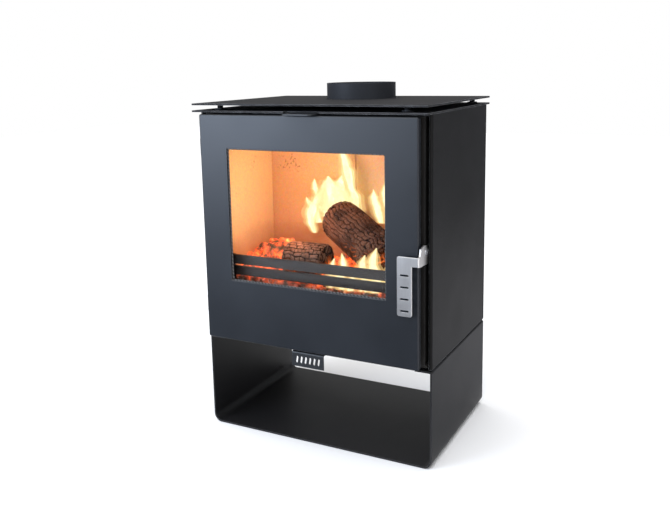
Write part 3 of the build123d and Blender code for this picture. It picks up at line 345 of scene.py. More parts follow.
def bed_height(x, y):
    """Top of the heap, which rises towards the back and into the left rear corner."""
    along = (y - ember_low.y) / (ember_high.y - ember_low.y)
    rise = bed_front_height + (bed_back_height - bed_front_height) * along
    from_peak = math.hypot((x - peak_x) / peak_width, (y - peak_y) / peak_depth)
    heaped = (ember_high.z - ember_low.z - rise - peak_below_top) / (1 + from_peak ** 3.0)
    from_hollow = math.hypot((x - hollow_x) / hollow_width, (y - hollow_y) / hollow_depth)
    under_logs = hollow_under_logs * max(0.0, 1.0 - from_hollow)
    lumps = noise.fractal(Vector((x * 34, y * 34, 0.0)), 1.0, 2.0, 3) * lump_height
    return ember_low.z + rise + heaped - under_logs + lumps


heap = bmesh.new()
top = []
for row in range(bed_rows + 1):
    y = ember_low.y + bed_margin + (ember_high.y - ember_low.y - 2 * bed_margin) * row / bed_rows
    line = []
    for column in range(bed_columns + 1):
        across = (ember_high.x - ember_low.x - 2 * bed_margin) * column / bed_columns
        x = ember_low.x + bed_margin + across
        line.append(heap.verts.new((x, y, bed_height(x, y))))
    top.append(line)
for row in range(bed_rows):
    for column in range(bed_columns):
        near, far = top[row], top[row + 1]
        heap.faces.new((near[column], near[column + 1], far[column + 1], far[column]))
# The scatter follows the order of the faces, so the skirt is laid round the rim in order.
rim = top[0] + [line[-1] for line in top[1:-1]] + top[-1][::-1] + [line[0] for line in top[-2:0:-1]]
foot = [heap.verts.new((vertex.co.x, vertex.co.y, ember_low.z + 0.0003)) for vertex in rim]
for here, (above, below) in enumerate(zip(rim, foot)):
    heap.faces.new((above, below, foot[(here + 1) % len(foot)], rim[(here + 1) % len(rim)]))
heap.faces.new(foot[::-1])
for face in heap.faces:
    face.smooth = True
heap_mesh = bpy.data.meshes.new("ember_heap")
heap.to_mesh(heap_mesh)
heap.free()
ember_heap = bpy.data.objects.new("ember_heap", heap_mesh)
bpy.context.scene.collection.objects.link(ember_heap)

glow, tree, surface = new_finish("glowing_charcoal", Roughness=0.95, Emission_Strength=2.0)
place = add_node(tree, "ShaderNodeTexCoord").outputs["Object"]
coal = add_node(
    tree, "ShaderNodeTexNoise", {"Vector": place, "Scale": 62.0, "Detail": 6.0, "Roughness": 0.6}
)
heat = add_node(tree, "ShaderNodeValToRGB", {"Fac": coal.outputs["Fac"]})
stops = heat.color_ramp.elements
stops[0].position, stops[0].color = 0.42, (0.004, 0.001, 0.0005, 1)
stops[1].position, stops[1].color = 0.74, (1.0, 0.42, 0.10, 1)
middle = stops.new(0.51)
middle.color = (0.42, 0.035, 0.006, 1)
warm = stops.new(0.62)
warm.color = (1.0, 0.11, 0.012, 1)
ash = add_node(
    tree, "ShaderNodeMixRGB",
    {"Fac": coal.outputs["Fac"], "Color1": (0.02, 0.014, 0.012, 1), "Color2": (0.34, 0.23, 0.18, 1)},
)
level = add_node(tree, "ShaderNodeSeparateXYZ", {0: place})
above_ash = add_node(
    tree, "ShaderNodeMapRange",
    {"Value": level.outputs["Z"], "From Min": 0.283, "From Max": 0.298, "To Min": 0.07},
)
lit = add_node(
    tree, "ShaderNodeVectorMath",
    {0: heat.outputs[0], "Scale": above_ash.outputs["Result"]}, operation="SCALE",
)
crumble = add_node(tree, "ShaderNodeTexNoise", {"Vector": place, "Scale": 500.0, "Detail": 3.0})
crust = add_node(
    tree, "ShaderNodeBump", {"Height": crumble.outputs["Fac"], "Strength": 0.8, "Distance": 0.0012}
)
tree.links.new(ash.outputs[0], surface.inputs["Base Color"])
tree.links.new(lit.outputs[0], surface.inputs["Emission Color"])
tree.links.new(crust.outputs[0], surface.inputs["Normal"])
ember_heap.data.materials.append(glow)

coal_shape = bmesh.new()
bmesh.ops.create_icosphere(coal_shape, subdivisions=2, radius=1.0)
coal_mesh = bpy.data.meshes.new("coal_lump")
coal_shape.to_mesh(coal_mesh)
coal_shape.free()
coal_lump = bpy.data.objects.new("coal_lump", coal_mesh)
bpy.context.scene.collection.objects.link(coal_lump)

scatter, start, end = new_group(
    "scatter_coals",
    "GeometryNodeTree",
    {
        "Bed": ("NodeSocketGeometry", None),
        "Lump": ("NodeSocketObject", None),
        "Density": ("NodeSocketFloat", 6500.0),
        "Smallest": ("NodeSocketFloat", 0.0028),
        "Largest": ("NodeSocketFloat", 0.0098),
        "Roughening": ("NodeSocketFloat", 0.0030),
        "Seed": ("NodeSocketInt", 7),
        "Finish": ("NodeSocketMaterial", None),
    },
    {"Coals": "NodeSocketGeometry"},
)
upward = add_node(scatter, "GeometryNodeInputNormal")
split = add_node(scatter, "ShaderNodeSeparateXYZ", {0: upward.outputs[0]})
on_top = add_node(scatter, "FunctionNodeCompare", {0: split.outputs["Z"], 1: 0.5}, operation="GREATER_THAN")
spread = add_node(
    scatter, "GeometryNodeDistributePointsOnFaces",
    {
        "Mesh": start.outputs["Bed"], "Selection": on_top.outputs[0],
        "Density": start.outputs["Density"], "Seed": start.outputs["Seed"],
    },
)
size = add_node(
    scatter, "FunctionNodeRandomValue",
    {2: start.outputs["Smallest"], 3: start.outputs["Largest"]},
    data_type="FLOAT",
)
stretch = add_node(
    scatter, "FunctionNodeRandomValue", {0: (0.7, 0.6, 0.5), 1: (1.5, 1.1, 0.9)}, data_type="FLOAT_VECTOR"
)
grow = add_node(
    scatter, "ShaderNodeVectorMath", {0: stretch.outputs[0], "Scale": size.outputs[1]}, operation="SCALE"
)
spin = add_node(
    scatter, "FunctionNodeRandomValue",
    {0: (0.0, 0.0, 0.0), 1: (6.28, 6.28, 6.28)}, data_type="FLOAT_VECTOR",
)
lump = add_node(scatter, "GeometryNodeObjectInfo", {"Object": start.outputs["Lump"]})
placed = add_node(
    scatter, "GeometryNodeInstanceOnPoints",
    {
        "Points": spread.outputs["Points"], "Instance": lump.outputs["Geometry"],
        "Rotation": spin.outputs[0], "Scale": grow.outputs[0],
    },
)
real = add_node(scatter, "GeometryNodeRealizeInstances", {"Geometry": placed.outputs[0]})
jag = add_node(scatter, "ShaderNodeTexNoise", {"Scale": 190.0, "Detail": 2.0})
centred = add_node(
    scatter, "ShaderNodeVectorMath", {0: jag.outputs["Color"], 1: (0.5, 0.5, 0.5)}, operation="SUBTRACT"
)
shove = add_node(
    scatter, "ShaderNodeVectorMath",
    {0: centred.outputs[0], "Scale": start.outputs["Roughening"]}, operation="SCALE",
)
ragged = add_node(
    scatter, "GeometryNodeSetPosition", {"Geometry": real.outputs[0], "Offset": shove.outputs[0]}
)
painted = add_node(
    scatter, "GeometryNodeSetMaterial",
    {"Geometry": ragged.outputs[0], "Material": start.outputs["Finish"]},
)
scatter.links.new(painted.outputs[0], end.inputs["Coals"])


def socket_name(group, label):
    """The identifier that a modifier's input goes by."""
    return next(
        item.identifier for item in group.interface.items_tree
        if item.name == label and item.in_out == "INPUT"
    )


def grow_mesh(name, carrier, group, values):
    """Runs a Geometry Nodes tree on a carrier object and returns the result as a plain mesh."""
    made = carrier.modifiers.new(name, "NODES")
    made.node_group = group
    for label, value in values.items():
        made[socket_name(group, label)] = value
    bpy.context.view_layer.update()
    graph = bpy.context.evaluated_depsgraph_get()
    mesh = bpy.data.meshes.new_from_object(carrier.evaluated_get(graph))
    mesh.name = name
    carrier.modifiers.remove(made)
    piece = bpy.data.objects.new(name, mesh)
    bpy.context.scene.collection.objects.link(piece)
    return piece


loose_coals = grow_mesh("loose_coals", ember_heap, scatter, {"Lump": coal_lump, "Finish": glow})
bpy.data.objects.remove(coal_lump)
for piece in (ember_heap, loose_coals):
    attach(piece, "stove")
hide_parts("ember_bed")

# ---------------------------------------------------------------- logs
# Two burning logs: one flat on the embers, and a thick one that leans across behind it.
# Their bark has charred and checked into small plates with deep cracks between them.
check_length, check_width = 0.0135, 0.0082
ring_spacing, log_facets, end_rings = 0.0011, 200, 24
end_round, end_shrink, end_inset = 0.004, 0.0025, 0.001
split_depth, splinter_depth = 0.0020, 0.0012


def check_bark(u, v, seed):
    """Height of the bark at a place along (u) and round (v), from 0 in a crack to 1 on a plate."""
    bend = noise.noise(Vector((u * 60, v * 60, seed))) * 0.75
    row = math.floor(v / check_width + bend)
    across = v / check_width + bend - row
    shift = noise.cell(Vector((row + 0.5, seed, 0.5)))
    uneven = 0.7 + 0.6 * noise.cell(Vector((row + 0.5, seed, 7.5)))
    along = u / (check_length * uneven) + shift * 3 + noise.noise(Vector((u * 90, v * 90, seed + 4))) * 0.35
    along -= math.floor(along)
    gap_across = min(across, 1 - across) * 2
    gap_along = min(along, 1 - along) * 2
    rise = min(1.0, gap_across / 0.42) * min(1.0, gap_along / 0.30)
    return rise ** 0.7


def burning_log(name, centre, run, radius, length, crack, seed):
    """A log along a line through its centre. Its cracks are stored in an attribute for the colours."""
    rings, steps = round(length / ring_spacing), log_facets
    shape = bmesh.new()
    depth = shape.verts.layers.float.new("plate")
    turn = Matrix.Translation(centre) @ Vector(run).to_track_quat("Z", "Y").to_matrix().to_4x4()
    rows = []
    for ring in range(rings + 1):
        u = (ring / rings - 0.5) * length
        row = []
        for step in range(steps):
            angle = 2 * math.pi * step / steps
            v = angle * radius
            bulge = Vector((math.cos(angle) * 1.3, math.sin(angle) * 1.3, u * 14 + seed))
            swell = noise.noise(bulge) * 0.07
            plate = check_bark(u, v, seed)
            fade = min(1.0, (length / 2 - abs(u)) / end_round)
            size = radius * (0.965 + swell * 0.5) - crack * (1 - plate) - end_shrink * (1 - fade)
            vertex = shape.verts.new(turn @ Vector((size * math.cos(angle), size * math.sin(angle), u)))
            vertex[depth] = plate
            row.append(vertex)
        rows.append(row)
    for low, high in zip(rows, rows[1:]):
        for step in range(steps):
            beside = (step + 1) % steps
            shape.faces.new((low[step], low[beside], high[beside], high[step]))
    for row, end_sign in ((rows[0], -1), (rows[-1], 1)):
        outer = row
        for ring in range(1, end_rings):
            share = 1 - ring / end_rings
            inner = []
            for step in range(steps):
                angle = 2 * math.pi * step / steps
                reach = radius * 0.95 * share
                flat = Vector((reach * math.cos(angle), reach * math.sin(angle), 0))
                split = abs(noise.noise(flat * 95 + Vector((0, 0, seed)))) * 3.2
                splinter = noise.noise(flat * 330 + Vector((0, 0, seed)))
                sunk = split_depth * max(0.0, 1 - split) + splinter_depth * abs(splinter)
                flat.z = end_sign * (length / 2 - end_inset - sunk)
                vertex = shape.verts.new(turn @ flat)
                vertex[depth] = min(0.72, split * 0.8 + 0.1)
                inner.append(vertex)
            for step in range(steps):
                beside = (step + 1) % steps
                shape.faces.new((outer[step], outer[beside], inner[beside], inner[step]))
            outer = inner
        shape.faces.new(outer)
    bmesh.ops.recalc_face_normals(shape, faces=shape.faces)
    for face in shape.faces:
        face.smooth = True
    mesh = bpy.data.meshes.new(name)
    shape.to_mesh(mesh)
    shape.free()
    piece = bpy.data.objects.new(name, mesh)
    bpy.context.scene.collection.objects.link(piece)
    return piece


low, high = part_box("log_lower")
lower_log = burning_log(
    "lower_log", (low + high) / 2, (1, 0, 0), (high.z - low.z) / 2, high.x - low.x, 0.0024, 3.0
)
low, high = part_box("log_upper")
upper_log = burning_log(
    "upper_log", (low + high) / 2, (0.80, -0.52, -0.28), 0.041, 0.170, 0.0040, 11.0
)


def charred_bark(name, plate_colour, char_colour, glow_low, glow_high, strength):
    """Bark that is dark in its cracks and glows in them below a level, where the embers lick it."""
    material, tree, surface = new_finish(
        name, Roughness=0.9, Emission_Strength=strength, Specular_IOR_Level=0.2
    )
    place = add_node(tree, "ShaderNodeTexCoord").outputs["Object"]
    plate = add_node(tree, "ShaderNodeAttribute", attribute_name="plate").outputs["Fac"]
    blotch = add_node(tree, "ShaderNodeTexNoise", {"Vector": place, "Scale": 32.0, "Detail": 5.0})
    fibre = add_node(tree, "ShaderNodeTexNoise", {"Vector": place, "Scale": 420.0, "Detail": 4.0})
    burnt = add_node(
        tree, "ShaderNodeMapRange", {"Value": blotch.outputs["Fac"], "From Min": 0.42, "From Max": 0.62}
    )
    top = add_node(
        tree, "ShaderNodeMixRGB",
        {"Fac": burnt.outputs["Result"], "Color1": plate_colour, "Color2": char_colour},
    )
    grained = add_node(
        tree, "ShaderNodeMixRGB",
        {"Fac": fibre.outputs["Fac"], "Color1": top.outputs[0], "Color2": (0.05, 0.025, 0.018, 1)},
    )
    crack = add_node(tree, "ShaderNodeMapRange", {"Value": plate, "From Min": 0.35, "From Max": 0.85})
    bark = add_node(
        tree, "ShaderNodeMixRGB",
        {"Fac": crack.outputs["Result"], "Color1": (0.008, 0.004, 0.003, 1), "Color2": grained.outputs[0]},
    )
    level = add_node(tree, "ShaderNodeSeparateXYZ", {0: place})
    licked = add_node(
        tree, "ShaderNodeMapRange",
        {"Value": level.outputs["Z"], "From Min": glow_high, "From Max": glow_low},
    )
    open_crack = add_node(tree, "ShaderNodeMapRange", {"Value": plate, "From Min": 0.75, "From Max": 0.1})
    hot = add_node(
        tree, "ShaderNodeMath", {0: licked.outputs["Result"], 1: open_crack.outputs["Result"]},
        operation="MULTIPLY",
    )
    patch = add_node(
        tree, "ShaderNodeMapRange", {"Value": blotch.outputs["Fac"], "From Min": 0.45, "From Max": 0.6}
    )
    hot_patch = add_node(
        tree, "ShaderNodeMath", {0: hot.outputs[0], 1: patch.outputs["Result"]}, operation="MULTIPLY"
    )
    fire = add_node(
        tree, "ShaderNodeMixRGB",
        {"Fac": hot_patch.outputs[0], "Color1": (0, 0, 0, 1), "Color2": (1.0, 0.18, 0.03, 1)},
    )
    rough = add_node(
        tree, "ShaderNodeBump", {"Height": fibre.outputs["Fac"], "Strength": 0.6, "Distance": 0.0006}
    )
    tree.links.new(bark.outputs[0], surface.inputs["Base Color"])
    tree.links.new(fire.outputs[0], surface.inputs["Emission Color"])
    tree.links.new(rough.outputs[0], surface.inputs["Normal"])
    return material


lower_log.data.materials.append(
    charred_bark("bark_in_embers", (0.39, 0.205, 0.14, 1), (0.11, 0.045, 0.03, 1), 0.290, 0.335, 3.0)
)
upper_log.data.materials.append(
    charred_bark("bark_of_big_log", (0.25, 0.105, 0.06, 1), (0.055, 0.022, 0.013, 1), 0.300, 0.365, 2.5)
)
for piece, node in ((lower_log, "log_lower"), (upper_log, "log_upper")):
    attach(piece, "stove")
    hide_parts(node)

# ---------------------------------------------------------------- flames
# Tongues of flame that rise from the logs: a nearly white heart, a thin yellow skin and a haze.
# Each is a closed mesh lofted along its own line, flattened and twisted a little as it rises.


def flame_tongue(shape, line, widths, depth, seed, swell):
    """Adds one closed tongue to a mesh. widths are half widths along the line."""
    steps, around = 28, 20
    rings = []
    for step in range(steps + 1):
        share = step / steps * (len(line) - 1)
        part = min(int(share), len(line) - 2)
        t = share - part
        before = Vector(line[max(part - 1, 0)])
        here, there = Vector(line[part]), Vector(line[part + 1])
        after = Vector(line[min(part + 2, len(line) - 1)])
        centre = 0.5 * (
            2 * here + (there - before) * t + (2 * before - 5 * here + 4 * there - after) * t * t
            + (3 * here - before - 3 * there + after) * t ** 3
        )
        smooth = t * t * (3 - 2 * t)
        half = widths[part] * (1 - smooth) + widths[part + 1] * smooth
        lean = noise.noise(Vector((seed, step * 0.16, 0))) * 0.8
        ring = []
        for turn in range(around):
            angle = 2 * math.pi * turn / around
            waver = Vector((math.cos(angle) * 1.2, math.sin(angle) * 1.2, step * 0.45 + seed))
            flick = 1 + 0.36 * noise.noise(waver)
            offset = Vector((
                half * swell * flick * math.cos(angle + lean * 0.2),
                half * swell * depth * flick * math.sin(angle),
                half * 0.5 * lean * math.cos(angle),
            ))
            ring.append(shape.verts.new(centre + offset))
        rings.append(ring)
    for low, high in zip(rings, rings[1:]):
        for turn in range(around):
            beside = (turn + 1) % around
            shape.faces.new((low[turn], low[beside], high[beside], high[turn]))
    shape.faces.new(list(reversed(rings[0])))
    shape.faces.new(rings[-1])


# Each tongue is its line of points, its half widths along it, its flatness and its seed.
tongues = [
    (
        [(0.004, 0.018, 0.395), (0.008, 0.014, 0.420), (0.002, 0.010, 0.446), (-0.003, 0.009, 0.470),
         (-0.010, 0.010, 0.492), (-0.018, 0.010, 0.522)],
        [0.014, 0.013, 0.0095, 0.0125, 0.0085, 0.0008], 0.7, 1.0,
    ),
    (
        [(-0.030, 0.016, 0.390), (-0.030, 0.008, 0.414), (-0.035, 0.004, 0.440), (-0.042, 0.004, 0.462)],
        [0.02, 0.026, 0.021, 0.002], 0.55, 2.0,
    ),
    (
        [(-0.010, 0.020, 0.396), (-0.012, 0.014, 0.420), (-0.020, 0.010, 0.444), (-0.016, 0.010, 0.464)],
        [0.016, 0.02, 0.014, 0.001], 0.55, 2.7,
    ),
    (
        [(-0.046, 0.010, 0.385), (-0.048, 0.008, 0.404), (-0.054, 0.006, 0.426), (-0.050, 0.004, 0.452)],
        [0.014, 0.018, 0.013, 0.001], 0.55, 3.4,
    ),
    (
        [(-0.072, 0.000, 0.352), (-0.078, -0.002, 0.374), (-0.074, -0.004, 0.398), (-0.062, 0.000, 0.420),
         (-0.050, 0.002, 0.440)],
        [0.005, 0.011, 0.015, 0.012, 0.002], 0.6, 3.0,
    ),
    (
        [(-0.064, 0.004, 0.372), (-0.070, 0.004, 0.392), (-0.084, 0.004, 0.408), (-0.090, 0.003, 0.420)],
        [0.01, 0.009, 0.006, 0.0008], 0.6, 3.8,
    ),
    (
        [(-0.054, 0.006, 0.395), (-0.062, 0.006, 0.418), (-0.070, 0.006, 0.436), (-0.072, 0.004, 0.456)],
        [0.013, 0.011, 0.007, 0.0008], 0.6, 4.0,
    ),
    (
        [(0.062, 0.016, 0.378), (0.056, 0.014, 0.400), (0.049, 0.014, 0.420), (0.046, 0.016, 0.440)],
        [0.007, 0.011, 0.008, 0.0008], 0.7, 5.0,
    ),
    (
        [(0.078, 0.018, 0.380), (0.072, 0.018, 0.408), (0.067, 0.020, 0.432), (0.069, 0.024, 0.468)],
        [0.006, 0.008, 0.006, 0.0006], 0.7, 6.0,
    ),
    (
        [(0.030, -0.122, 0.288), (0.033, -0.121, 0.304), (0.026, -0.119, 0.320), (0.031, -0.117, 0.338)],
        [0.01, 0.011, 0.007, 0.001], 0.6, 7.0,
    ),
    (
        [(0.050, -0.126, 0.288), (0.046, -0.125, 0.308), (0.052, -0.124, 0.330), (0.048, -0.122, 0.350)],
        [0.009, 0.011, 0.007, 0.001], 0.6, 8.0,
    ),
    (
        [(0.066, -0.128, 0.288), (0.072, -0.127, 0.306), (0.066, -0.126, 0.326)],
        [0.009, 0.009, 0.001], 0.6, 8.6,
    ),
    (
        [(0.112, -0.128, 0.290), (0.114, -0.128, 0.318), (0.108, -0.127, 0.342), (0.115, -0.126, 0.366)],
        [0.012, 0.014, 0.01, 0.001], 0.5, 9.0,
    ),
    (
        [(0.092, -0.129, 0.290), (0.096, -0.129, 0.312), (0.090, -0.128, 0.336), (0.094, -0.127, 0.352)],
        [0.011, 0.012, 0.008, 0.001], 0.5, 10.0,
    ),
    (
        [(0.136, -0.120, 0.290), (0.139, -0.119, 0.318), (0.133, -0.116, 0.350)],
        [0.01, 0.01, 0.001], 0.6, 11.0,
    ),
]


def flame_finish(name, low_colour, high_colour, strength, alpha):
    """Light only: the colour runs up the tongue, and streaks thin the skin."""
    material, tree, surface = new_finish(name, Base_Color=(0, 0, 0, 1), Roughness=1.0,
                                         Specular_IOR_Level=0.0, Emission_Strength=strength)
    place = add_node(tree, "ShaderNodeTexCoord").outputs["Object"]
    stretched = add_node(tree, "ShaderNodeMapping", {"Vector": place, "Scale": (1.0, 1.0, 0.35)})
    streak = add_node(
        tree, "ShaderNodeTexNoise", {"Vector": stretched.outputs[0], "Scale": 90.0, "Detail": 3.0}
    )
    colour = add_node(
        tree, "ShaderNodeMixRGB",
        {"Fac": streak.outputs["Fac"], "Color1": low_colour, "Color2": high_colour},
    )
    tree.links.new(colour.outputs[0], surface.inputs["Emission Color"])
    if alpha < 1:
        thin = add_node(
            tree, "ShaderNodeMapRange",
            {
                "Value": streak.outputs["Fac"], "From Min": 0.3, "From Max": 0.7,
                "To Min": alpha * 0.3, "To Max": alpha,
            },
        )
        tree.links.new(thin.outputs["Result"], surface.inputs["Alpha"])
    return material


for name, swell, finish in (
    (
        "flame_hearts", 0.62,
        flame_finish("flame_heart", (1.0, 0.82, 0.40, 1), (1.0, 0.97, 0.78, 1), 2.2, 0.92),
    ),
    ("flame_skins", 1.0, flame_finish("flame_skin", (1.0, 0.68, 0.22, 1), (1.0, 0.92, 0.52, 1), 1.3, 0.6)),
    ("flame_haze", 1.5, flame_finish("flame_haze", (1.0, 0.55, 0.18, 1), (1.0, 0.72, 0.30, 1), 1.2, 0.35)),
):
    shape = bmesh.new()
    for line, widths, depth, seed in tongues:
        flame_tongue(shape, line, widths, depth, seed, swell)
    bmesh.ops.recalc_face_normals(shape, faces=shape.faces)
    for face in shape.faces:
        face.smooth = True
    mesh = bpy.data.meshes.new(name)
    shape.to_mesh(mesh)
    shape.free()
    piece = bpy.data.objects.new(name, mesh)
    bpy.context.scene.collection.objects.link(piece)
    piece.data.materials.append(finish)
    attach(piece, "stove")

# ---------------------------------------------------------------- air sliders
# Flat slides that throttle the two air inlets, with folded tabs that show at the front, and the
# guides they run in. All are bent from thin sheet and sprayed like the door.
slider_paint = stove_paint("slider_paint", (0.018, 0.020, 0.023, 1), 0.4, 0.45)
give(slider_paint, "top_air_slider", "bottom_air_slider", "top_slider_guides", "bottom_slider_guides")

# ---------------------------------------------------------------- door
# A pressed tray of 3 mm sheet with a window, and a channelled frame welded behind it.
# The door is the most finely painted piece: satin, blue-black, with a soft sheen and a painted highlight
# along its edges.
door_paint = stove_paint(
    "door_paint", (0.0100, 0.0125, 0.0172, 1), 0.40, 0.5, Dust=0.05, Tooth=0.04,
    Edge_wear=0.5, Edge_width=0.0010,
)
give(door_paint, "door_panel", "door_inner_frame", "hinge_lug_lower", "hinge_lug_upper", "handle_lug")

# Ceramic glass, clear, with a patchy trace of haze from the fire.
glass, tree, surface = new_finish("stove_glass", Transmission_Weight=1.0, IOR=1.12,
                                  Base_Color=(0.97, 0.98, 0.97, 1), Metallic=0.0)
place = add_node(tree, "ShaderNodeTexCoord").outputs["Object"]
haze = add_node(tree, "ShaderNodeTexNoise", {"Vector": place, "Scale": 14.0, "Detail": 5.0})
hazy = add_node(
    tree, "ShaderNodeMapRange",
    {"Value": haze.outputs["Fac"], "From Min": 0.45, "From Max": 0.75, "To Min": 0.0, "To Max": 0.05},
)
tree.links.new(hazy.outputs["Result"], surface.inputs["Roughness"])
give(glass, "door_glass")

# Woven glass-fibre tape and rope seal the glass and the door.
rope, tree, surface = new_finish("glass_fibre", Roughness=0.95, Specular_IOR_Level=0.1, Sheen_Weight=0.3)
place = add_node(tree, "ShaderNodeTexCoord").outputs["Object"]
braid_a = add_node(tree, "ShaderNodeTexWave", {"Vector": place, "Scale": 95.0, "Distortion": 0.6},
                   wave_type="BANDS", bands_direction="DIAGONAL")
fuzz = add_node(tree, "ShaderNodeTexNoise", {"Vector": place, "Scale": 900.0, "Detail": 3.0})
yarn = add_node(
    tree, "ShaderNodeMixRGB",
    {"Fac": braid_a.outputs["Fac"], "Color1": (0.03, 0.03, 0.03, 1), "Color2": (0.14, 0.14, 0.14, 1)},
)
lift = add_node(
    tree, "ShaderNodeMath", {0: braid_a.outputs["Fac"], 1: fuzz.outputs["Fac"]}, operation="ADD"
)
woven = add_node(tree, "ShaderNodeBump", {"Height": lift.outputs[0], "Strength": 0.8, "Distance": 0.0008})
tree.links.new(yarn.outputs[0], surface.inputs["Base Color"])
tree.links.new(woven.outputs[0], surface.inputs["Normal"])
give(rope, "door_rope_seal", "glass_gasket")

# ---------------------------------------------------------------- fixings
# Black-oxide screws, bolts and clips, and zinc-plated pins, washers and catch roller.
black_oxide = stove_paint("black_oxide", (0.018, 0.018, 0.019, 1), 0.38, 0.6)
give(black_oxide, "body_bolts", "back_panel_screws", "collar_bolts", "glass_clip_screws", "hinge_bolts",
     "glass_clips", "hinge_bracket_lower", "hinge_bracket_upper", "latch_bracket")

brushed, start, end = new_group(
    "brushed_metal",
    "ShaderNodeTree",
    {
        "Colour": ("NodeSocketColor", (0.6, 0.6, 0.61, 1)),
        "Roughness": ("NodeSocketFloat", 0.3),
        "Grain": ("NodeSocketVector", (900.0, 900.0, 25.0)),
        "Depth": ("NodeSocketFloat", 0.08),
    },
    {"Colour": "NodeSocketColor", "Roughness": "NodeSocketFloat", "Normal": "NodeSocketVector"},
)
place = add_node(brushed, "ShaderNodeTexCoord").outputs["Object"]
along = add_node(
    brushed, "ShaderNodeVectorMath", {0: place, 1: start.outputs["Grain"]}, operation="MULTIPLY"
)
scratch = add_node(brushed, "ShaderNodeTexNoise", {"Vector": along.outputs[0], "Scale": 1.0, "Detail": 3.0})
smear = add_node(brushed, "ShaderNodeTexNoise", {"Vector": place, "Scale": 40.0, "Detail": 3.0})
dull = add_node(
    brushed, "ShaderNodeMapRange", {"Value": smear.outputs["Fac"], "To Min": -0.06, "To Max": 0.08}
)
rough = add_node(
    brushed, "ShaderNodeMath", {0: dull.outputs["Result"], 1: start.outputs["Roughness"]}, operation="ADD"
)
tone = add_node(
    brushed, "ShaderNodeMapRange", {"Value": scratch.outputs["Fac"], "To Min": 0.88, "To Max": 1.08}
)
toned = add_node(
    brushed, "ShaderNodeVectorMath",
    {0: start.outputs["Colour"], "Scale": tone.outputs["Result"]}, operation="SCALE",
)
soft = add_node(brushed, "ShaderNodeBevel", {"Radius": 0.0006}, samples=4)
grain = add_node(
    brushed, "ShaderNodeBump",
    {
        "Height": scratch.outputs["Fac"], "Strength": start.outputs["Depth"], "Distance": 0.0002,
        "Normal": soft.outputs[0],
    },
)
# Painted highlight: the broken edges are mixed towards near white, standing in for the light they catch.
flat_face = add_node(brushed, "ShaderNodeNewGeometry")
turn = add_node(
    brushed, "ShaderNodeVectorMath",
    {0: soft.outputs["Normal"], 1: flat_face.outputs["Normal"]}, operation="DOT_PRODUCT",
)
rim = add_node(
    brushed, "ShaderNodeMapRange",
    {"Value": turn.outputs["Value"], "From Min": 0.99, "From Max": 0.8},
)
highlighted_metal = add_node(
    brushed, "ShaderNodeMixRGB",
    {"Fac": rim.outputs["Result"], "Color1": toned.outputs[0], "Color2": (0.97, 0.97, 0.97, 1)},
)
results = {"Colour": highlighted_metal.outputs[0], "Roughness": rough.outputs[0], "Normal": grain.outputs[0]}
for label, socket in results.items():
    brushed.links.new(socket, end.inputs[label])


def bare_metal(name, colour, roughness, **values):
    """A plated or brushed finish on the brushed_metal group."""
    material, tree, surface = new_finish(name, Metallic=1.0)
    look = place_group(tree, brushed, {"Colour": colour, "Roughness": roughness, **values})
    tree.links.new(look.outputs["Colour"], surface.inputs["Base Color"])
    tree.links.new(look.outputs["Roughness"], surface.inputs["Roughness"])
    tree.links.new(look.outputs["Normal"], surface.inputs["Normal"])
    return material


zinc = bare_metal("zinc_plate", (0.42, 0.43, 0.45, 1), 0.35, Grain=(700.0, 700.0, 700.0))
give(zinc, "hinge_pin_lower", "hinge_pin_upper", "handle_washer", "handle_pivot_screw", "latch_pin",
     "latch_roller", "body_washers")

# ---------------------------------------------------------------- handle
# Laser-cut and folded stainless plate, satin-brushed along its length, with broken edges that carry a
# painted highlight.
# It turns on the pivot screw in the door's right edge.
stainless = bare_metal("stainless", (0.82, 0.80, 0.78, 1), 0.34)
give(stainless, "door_handle")

# ---------------------------------------------------------------- studio
# A pale floor, a bright plain surround, a wide sun and three soft boxes, and the fire's own
# light in the firebox.
floor_mesh = bpy.data.meshes.new("floor")
floor_mesh.from_pydata(
    [(-6, -6, -0.0005), (6, -6, -0.0005), (6, 6, -0.0005), (-6, 6, -0.0005)], [], [(0, 1, 2, 3)]
)
floor = bpy.data.objects.new("floor", floor_mesh)
bpy.context.scene.collection.objects.link(floor)
pale, tree, surface = new_finish("pale_floor", Roughness=0.9, Base_Color=(0.93, 0.93, 0.94, 1),
                                 Specular_IOR_Level=0.1)
floor.data.materials.append(pale)

surround = bpy.data.worlds.new("surround")
surround.use_nodes = True
tree = surround.node_tree
seen = add_node(tree, "ShaderNodeLightPath").outputs["Is Camera Ray"]
strength = add_node(tree, "ShaderNodeMapRange", {"Value": seen, "To Min": 0.42, "To Max": 1.0})
backdrop = tree.nodes["Background"]
backdrop.inputs["Color"].default_value = (1.0, 1.0, 1.0, 1)
tree.links.new(strength.outputs["Result"], backdrop.inputs["Strength"])
bpy.context.scene.world = surround

# Three cards, seen only in reflections. Two on the floor keep it out of the door's and the side
# panel's sheen, and one that stands behind on the right darkens the top of the side panel.
for name, shade, corners in (
    ("card_in_front", 0.06,
     [(-3.2, -3.2, 0.002), (0.45, -3.2, 0.002), (0.45, -0.24, 0.002), (-3.2, -0.24, 0.002)]),
    ("card_beside", 0.50, [(0.24, -0.3, 0.001), (2.6, -0.3, 0.001), (2.6, 1.5, 0.001), (0.24, 1.5, 0.001)]),
    ("card_behind", 0.24, [(0.3, 1.5, 0.0), (2.8, 1.5, 0.0), (2.8, 1.5, 1.7), (0.3, 1.5, 1.7)]),
):
    grey, tree, surface = new_finish(name, Roughness=1.0, Base_Color=(shade, shade, shade * 1.05, 1),
                                     Specular_IOR_Level=0.0)
    card_mesh = bpy.data.meshes.new(name)
    card_mesh.from_pydata(corners, [], [(0, 1, 2, 3)])
    card = bpy.data.objects.new(name, card_mesh)
    bpy.context.scene.collection.objects.link(card)
    card.data.materials.append(grey)
    card.visible_camera = card.visible_shadow = card.visible_transmission = card.visible_diffuse = False

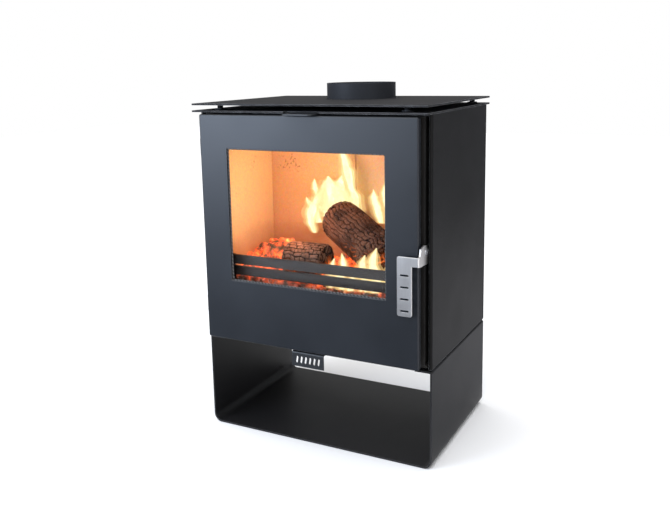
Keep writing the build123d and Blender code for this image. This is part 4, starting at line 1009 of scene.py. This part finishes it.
sky = bpy.data.lights.new("overhead", "SUN")
sky.energy, sky.angle, sky.color = 2.9, 1.5, (1.0, 1.0, 1.0)
overhead = bpy.data.objects.new("overhead", sky)
overhead.rotation_euler = (math.radians(6), math.radians(-8), 0)
bpy.context.scene.collection.objects.link(overhead)


def soft_light(name, place, aim, size, power, colour):
    lamp = bpy.data.lights.new(name, "AREA")
    lamp.shape, lamp.size, lamp.energy, lamp.color = "SQUARE", size, power, colour
    holder = bpy.data.objects.new(name, lamp)
    holder.location = place
    holder.rotation_euler = (Vector(aim) - Vector(place)).to_track_quat("-Z", "Y").to_euler()
    bpy.context.scene.collection.objects.link(holder)


soft_light("softbox_left", (-1.55, -2.2, 0.80), (0, 0, 0.4), 1.1, 47, (0.68, 0.80, 1.0))
soft_light("softbox_front", (0.35, -1.9, 1.9), (0, 0, 0.45), 0.7, 12, (0.90, 0.94, 1.0))
soft_light("softbox_right", (2.3, -1.3, 1.1), (0, 0, 0.4), 0.4, 8, (0.85, 0.92, 1.0))


def fire_light(name, place, radius, power, colour):
    lamp = bpy.data.lights.new(name, "POINT")
    lamp.shadow_soft_size, lamp.energy, lamp.color = radius, power, colour
    holder = bpy.data.objects.new(name, lamp)
    holder.location = place
    holder.visible_camera = holder.visible_glossy = holder.visible_transmission = False
    bpy.context.scene.collection.objects.link(holder)


fire_light("fire_above_logs", (-0.05, -0.100, 0.470), 0.03, 0.55, (1.0, 0.52, 0.20))
fire_light("fire_in_front", (-0.06, -0.115, 0.380), 0.02, 0.22, (1.0, 0.46, 0.20))

view = bpy.data.cameras.new("camera")
view.sensor_width = 36.0
view.lens = 41.5644
view.shift_y = -0.09328
camera = bpy.data.objects.new("camera", view)
turn, tip, roll = math.radians(27.37), math.radians(9.87), math.radians(-1.08)
ahead = Vector((-math.sin(turn) * math.cos(tip), math.cos(turn) * math.cos(tip), -math.sin(tip)))
side = ahead.cross(Vector((0, 0, 1))).normalized()
above = side.cross(ahead)
side_rolled = side * math.cos(roll) + above * math.sin(roll)
above_rolled = above * math.cos(roll) - side * math.sin(roll)
pose = Matrix((side_rolled, above_rolled, -ahead)).transposed().to_4x4()
pose.translation = Vector((0.63276, -1.27352, 0.66763))
camera.matrix_world = pose
bpy.context.scene.collection.objects.link(camera)
bpy.context.scene.camera = camera
bpy.context.scene.view_settings.view_transform = "Standard"
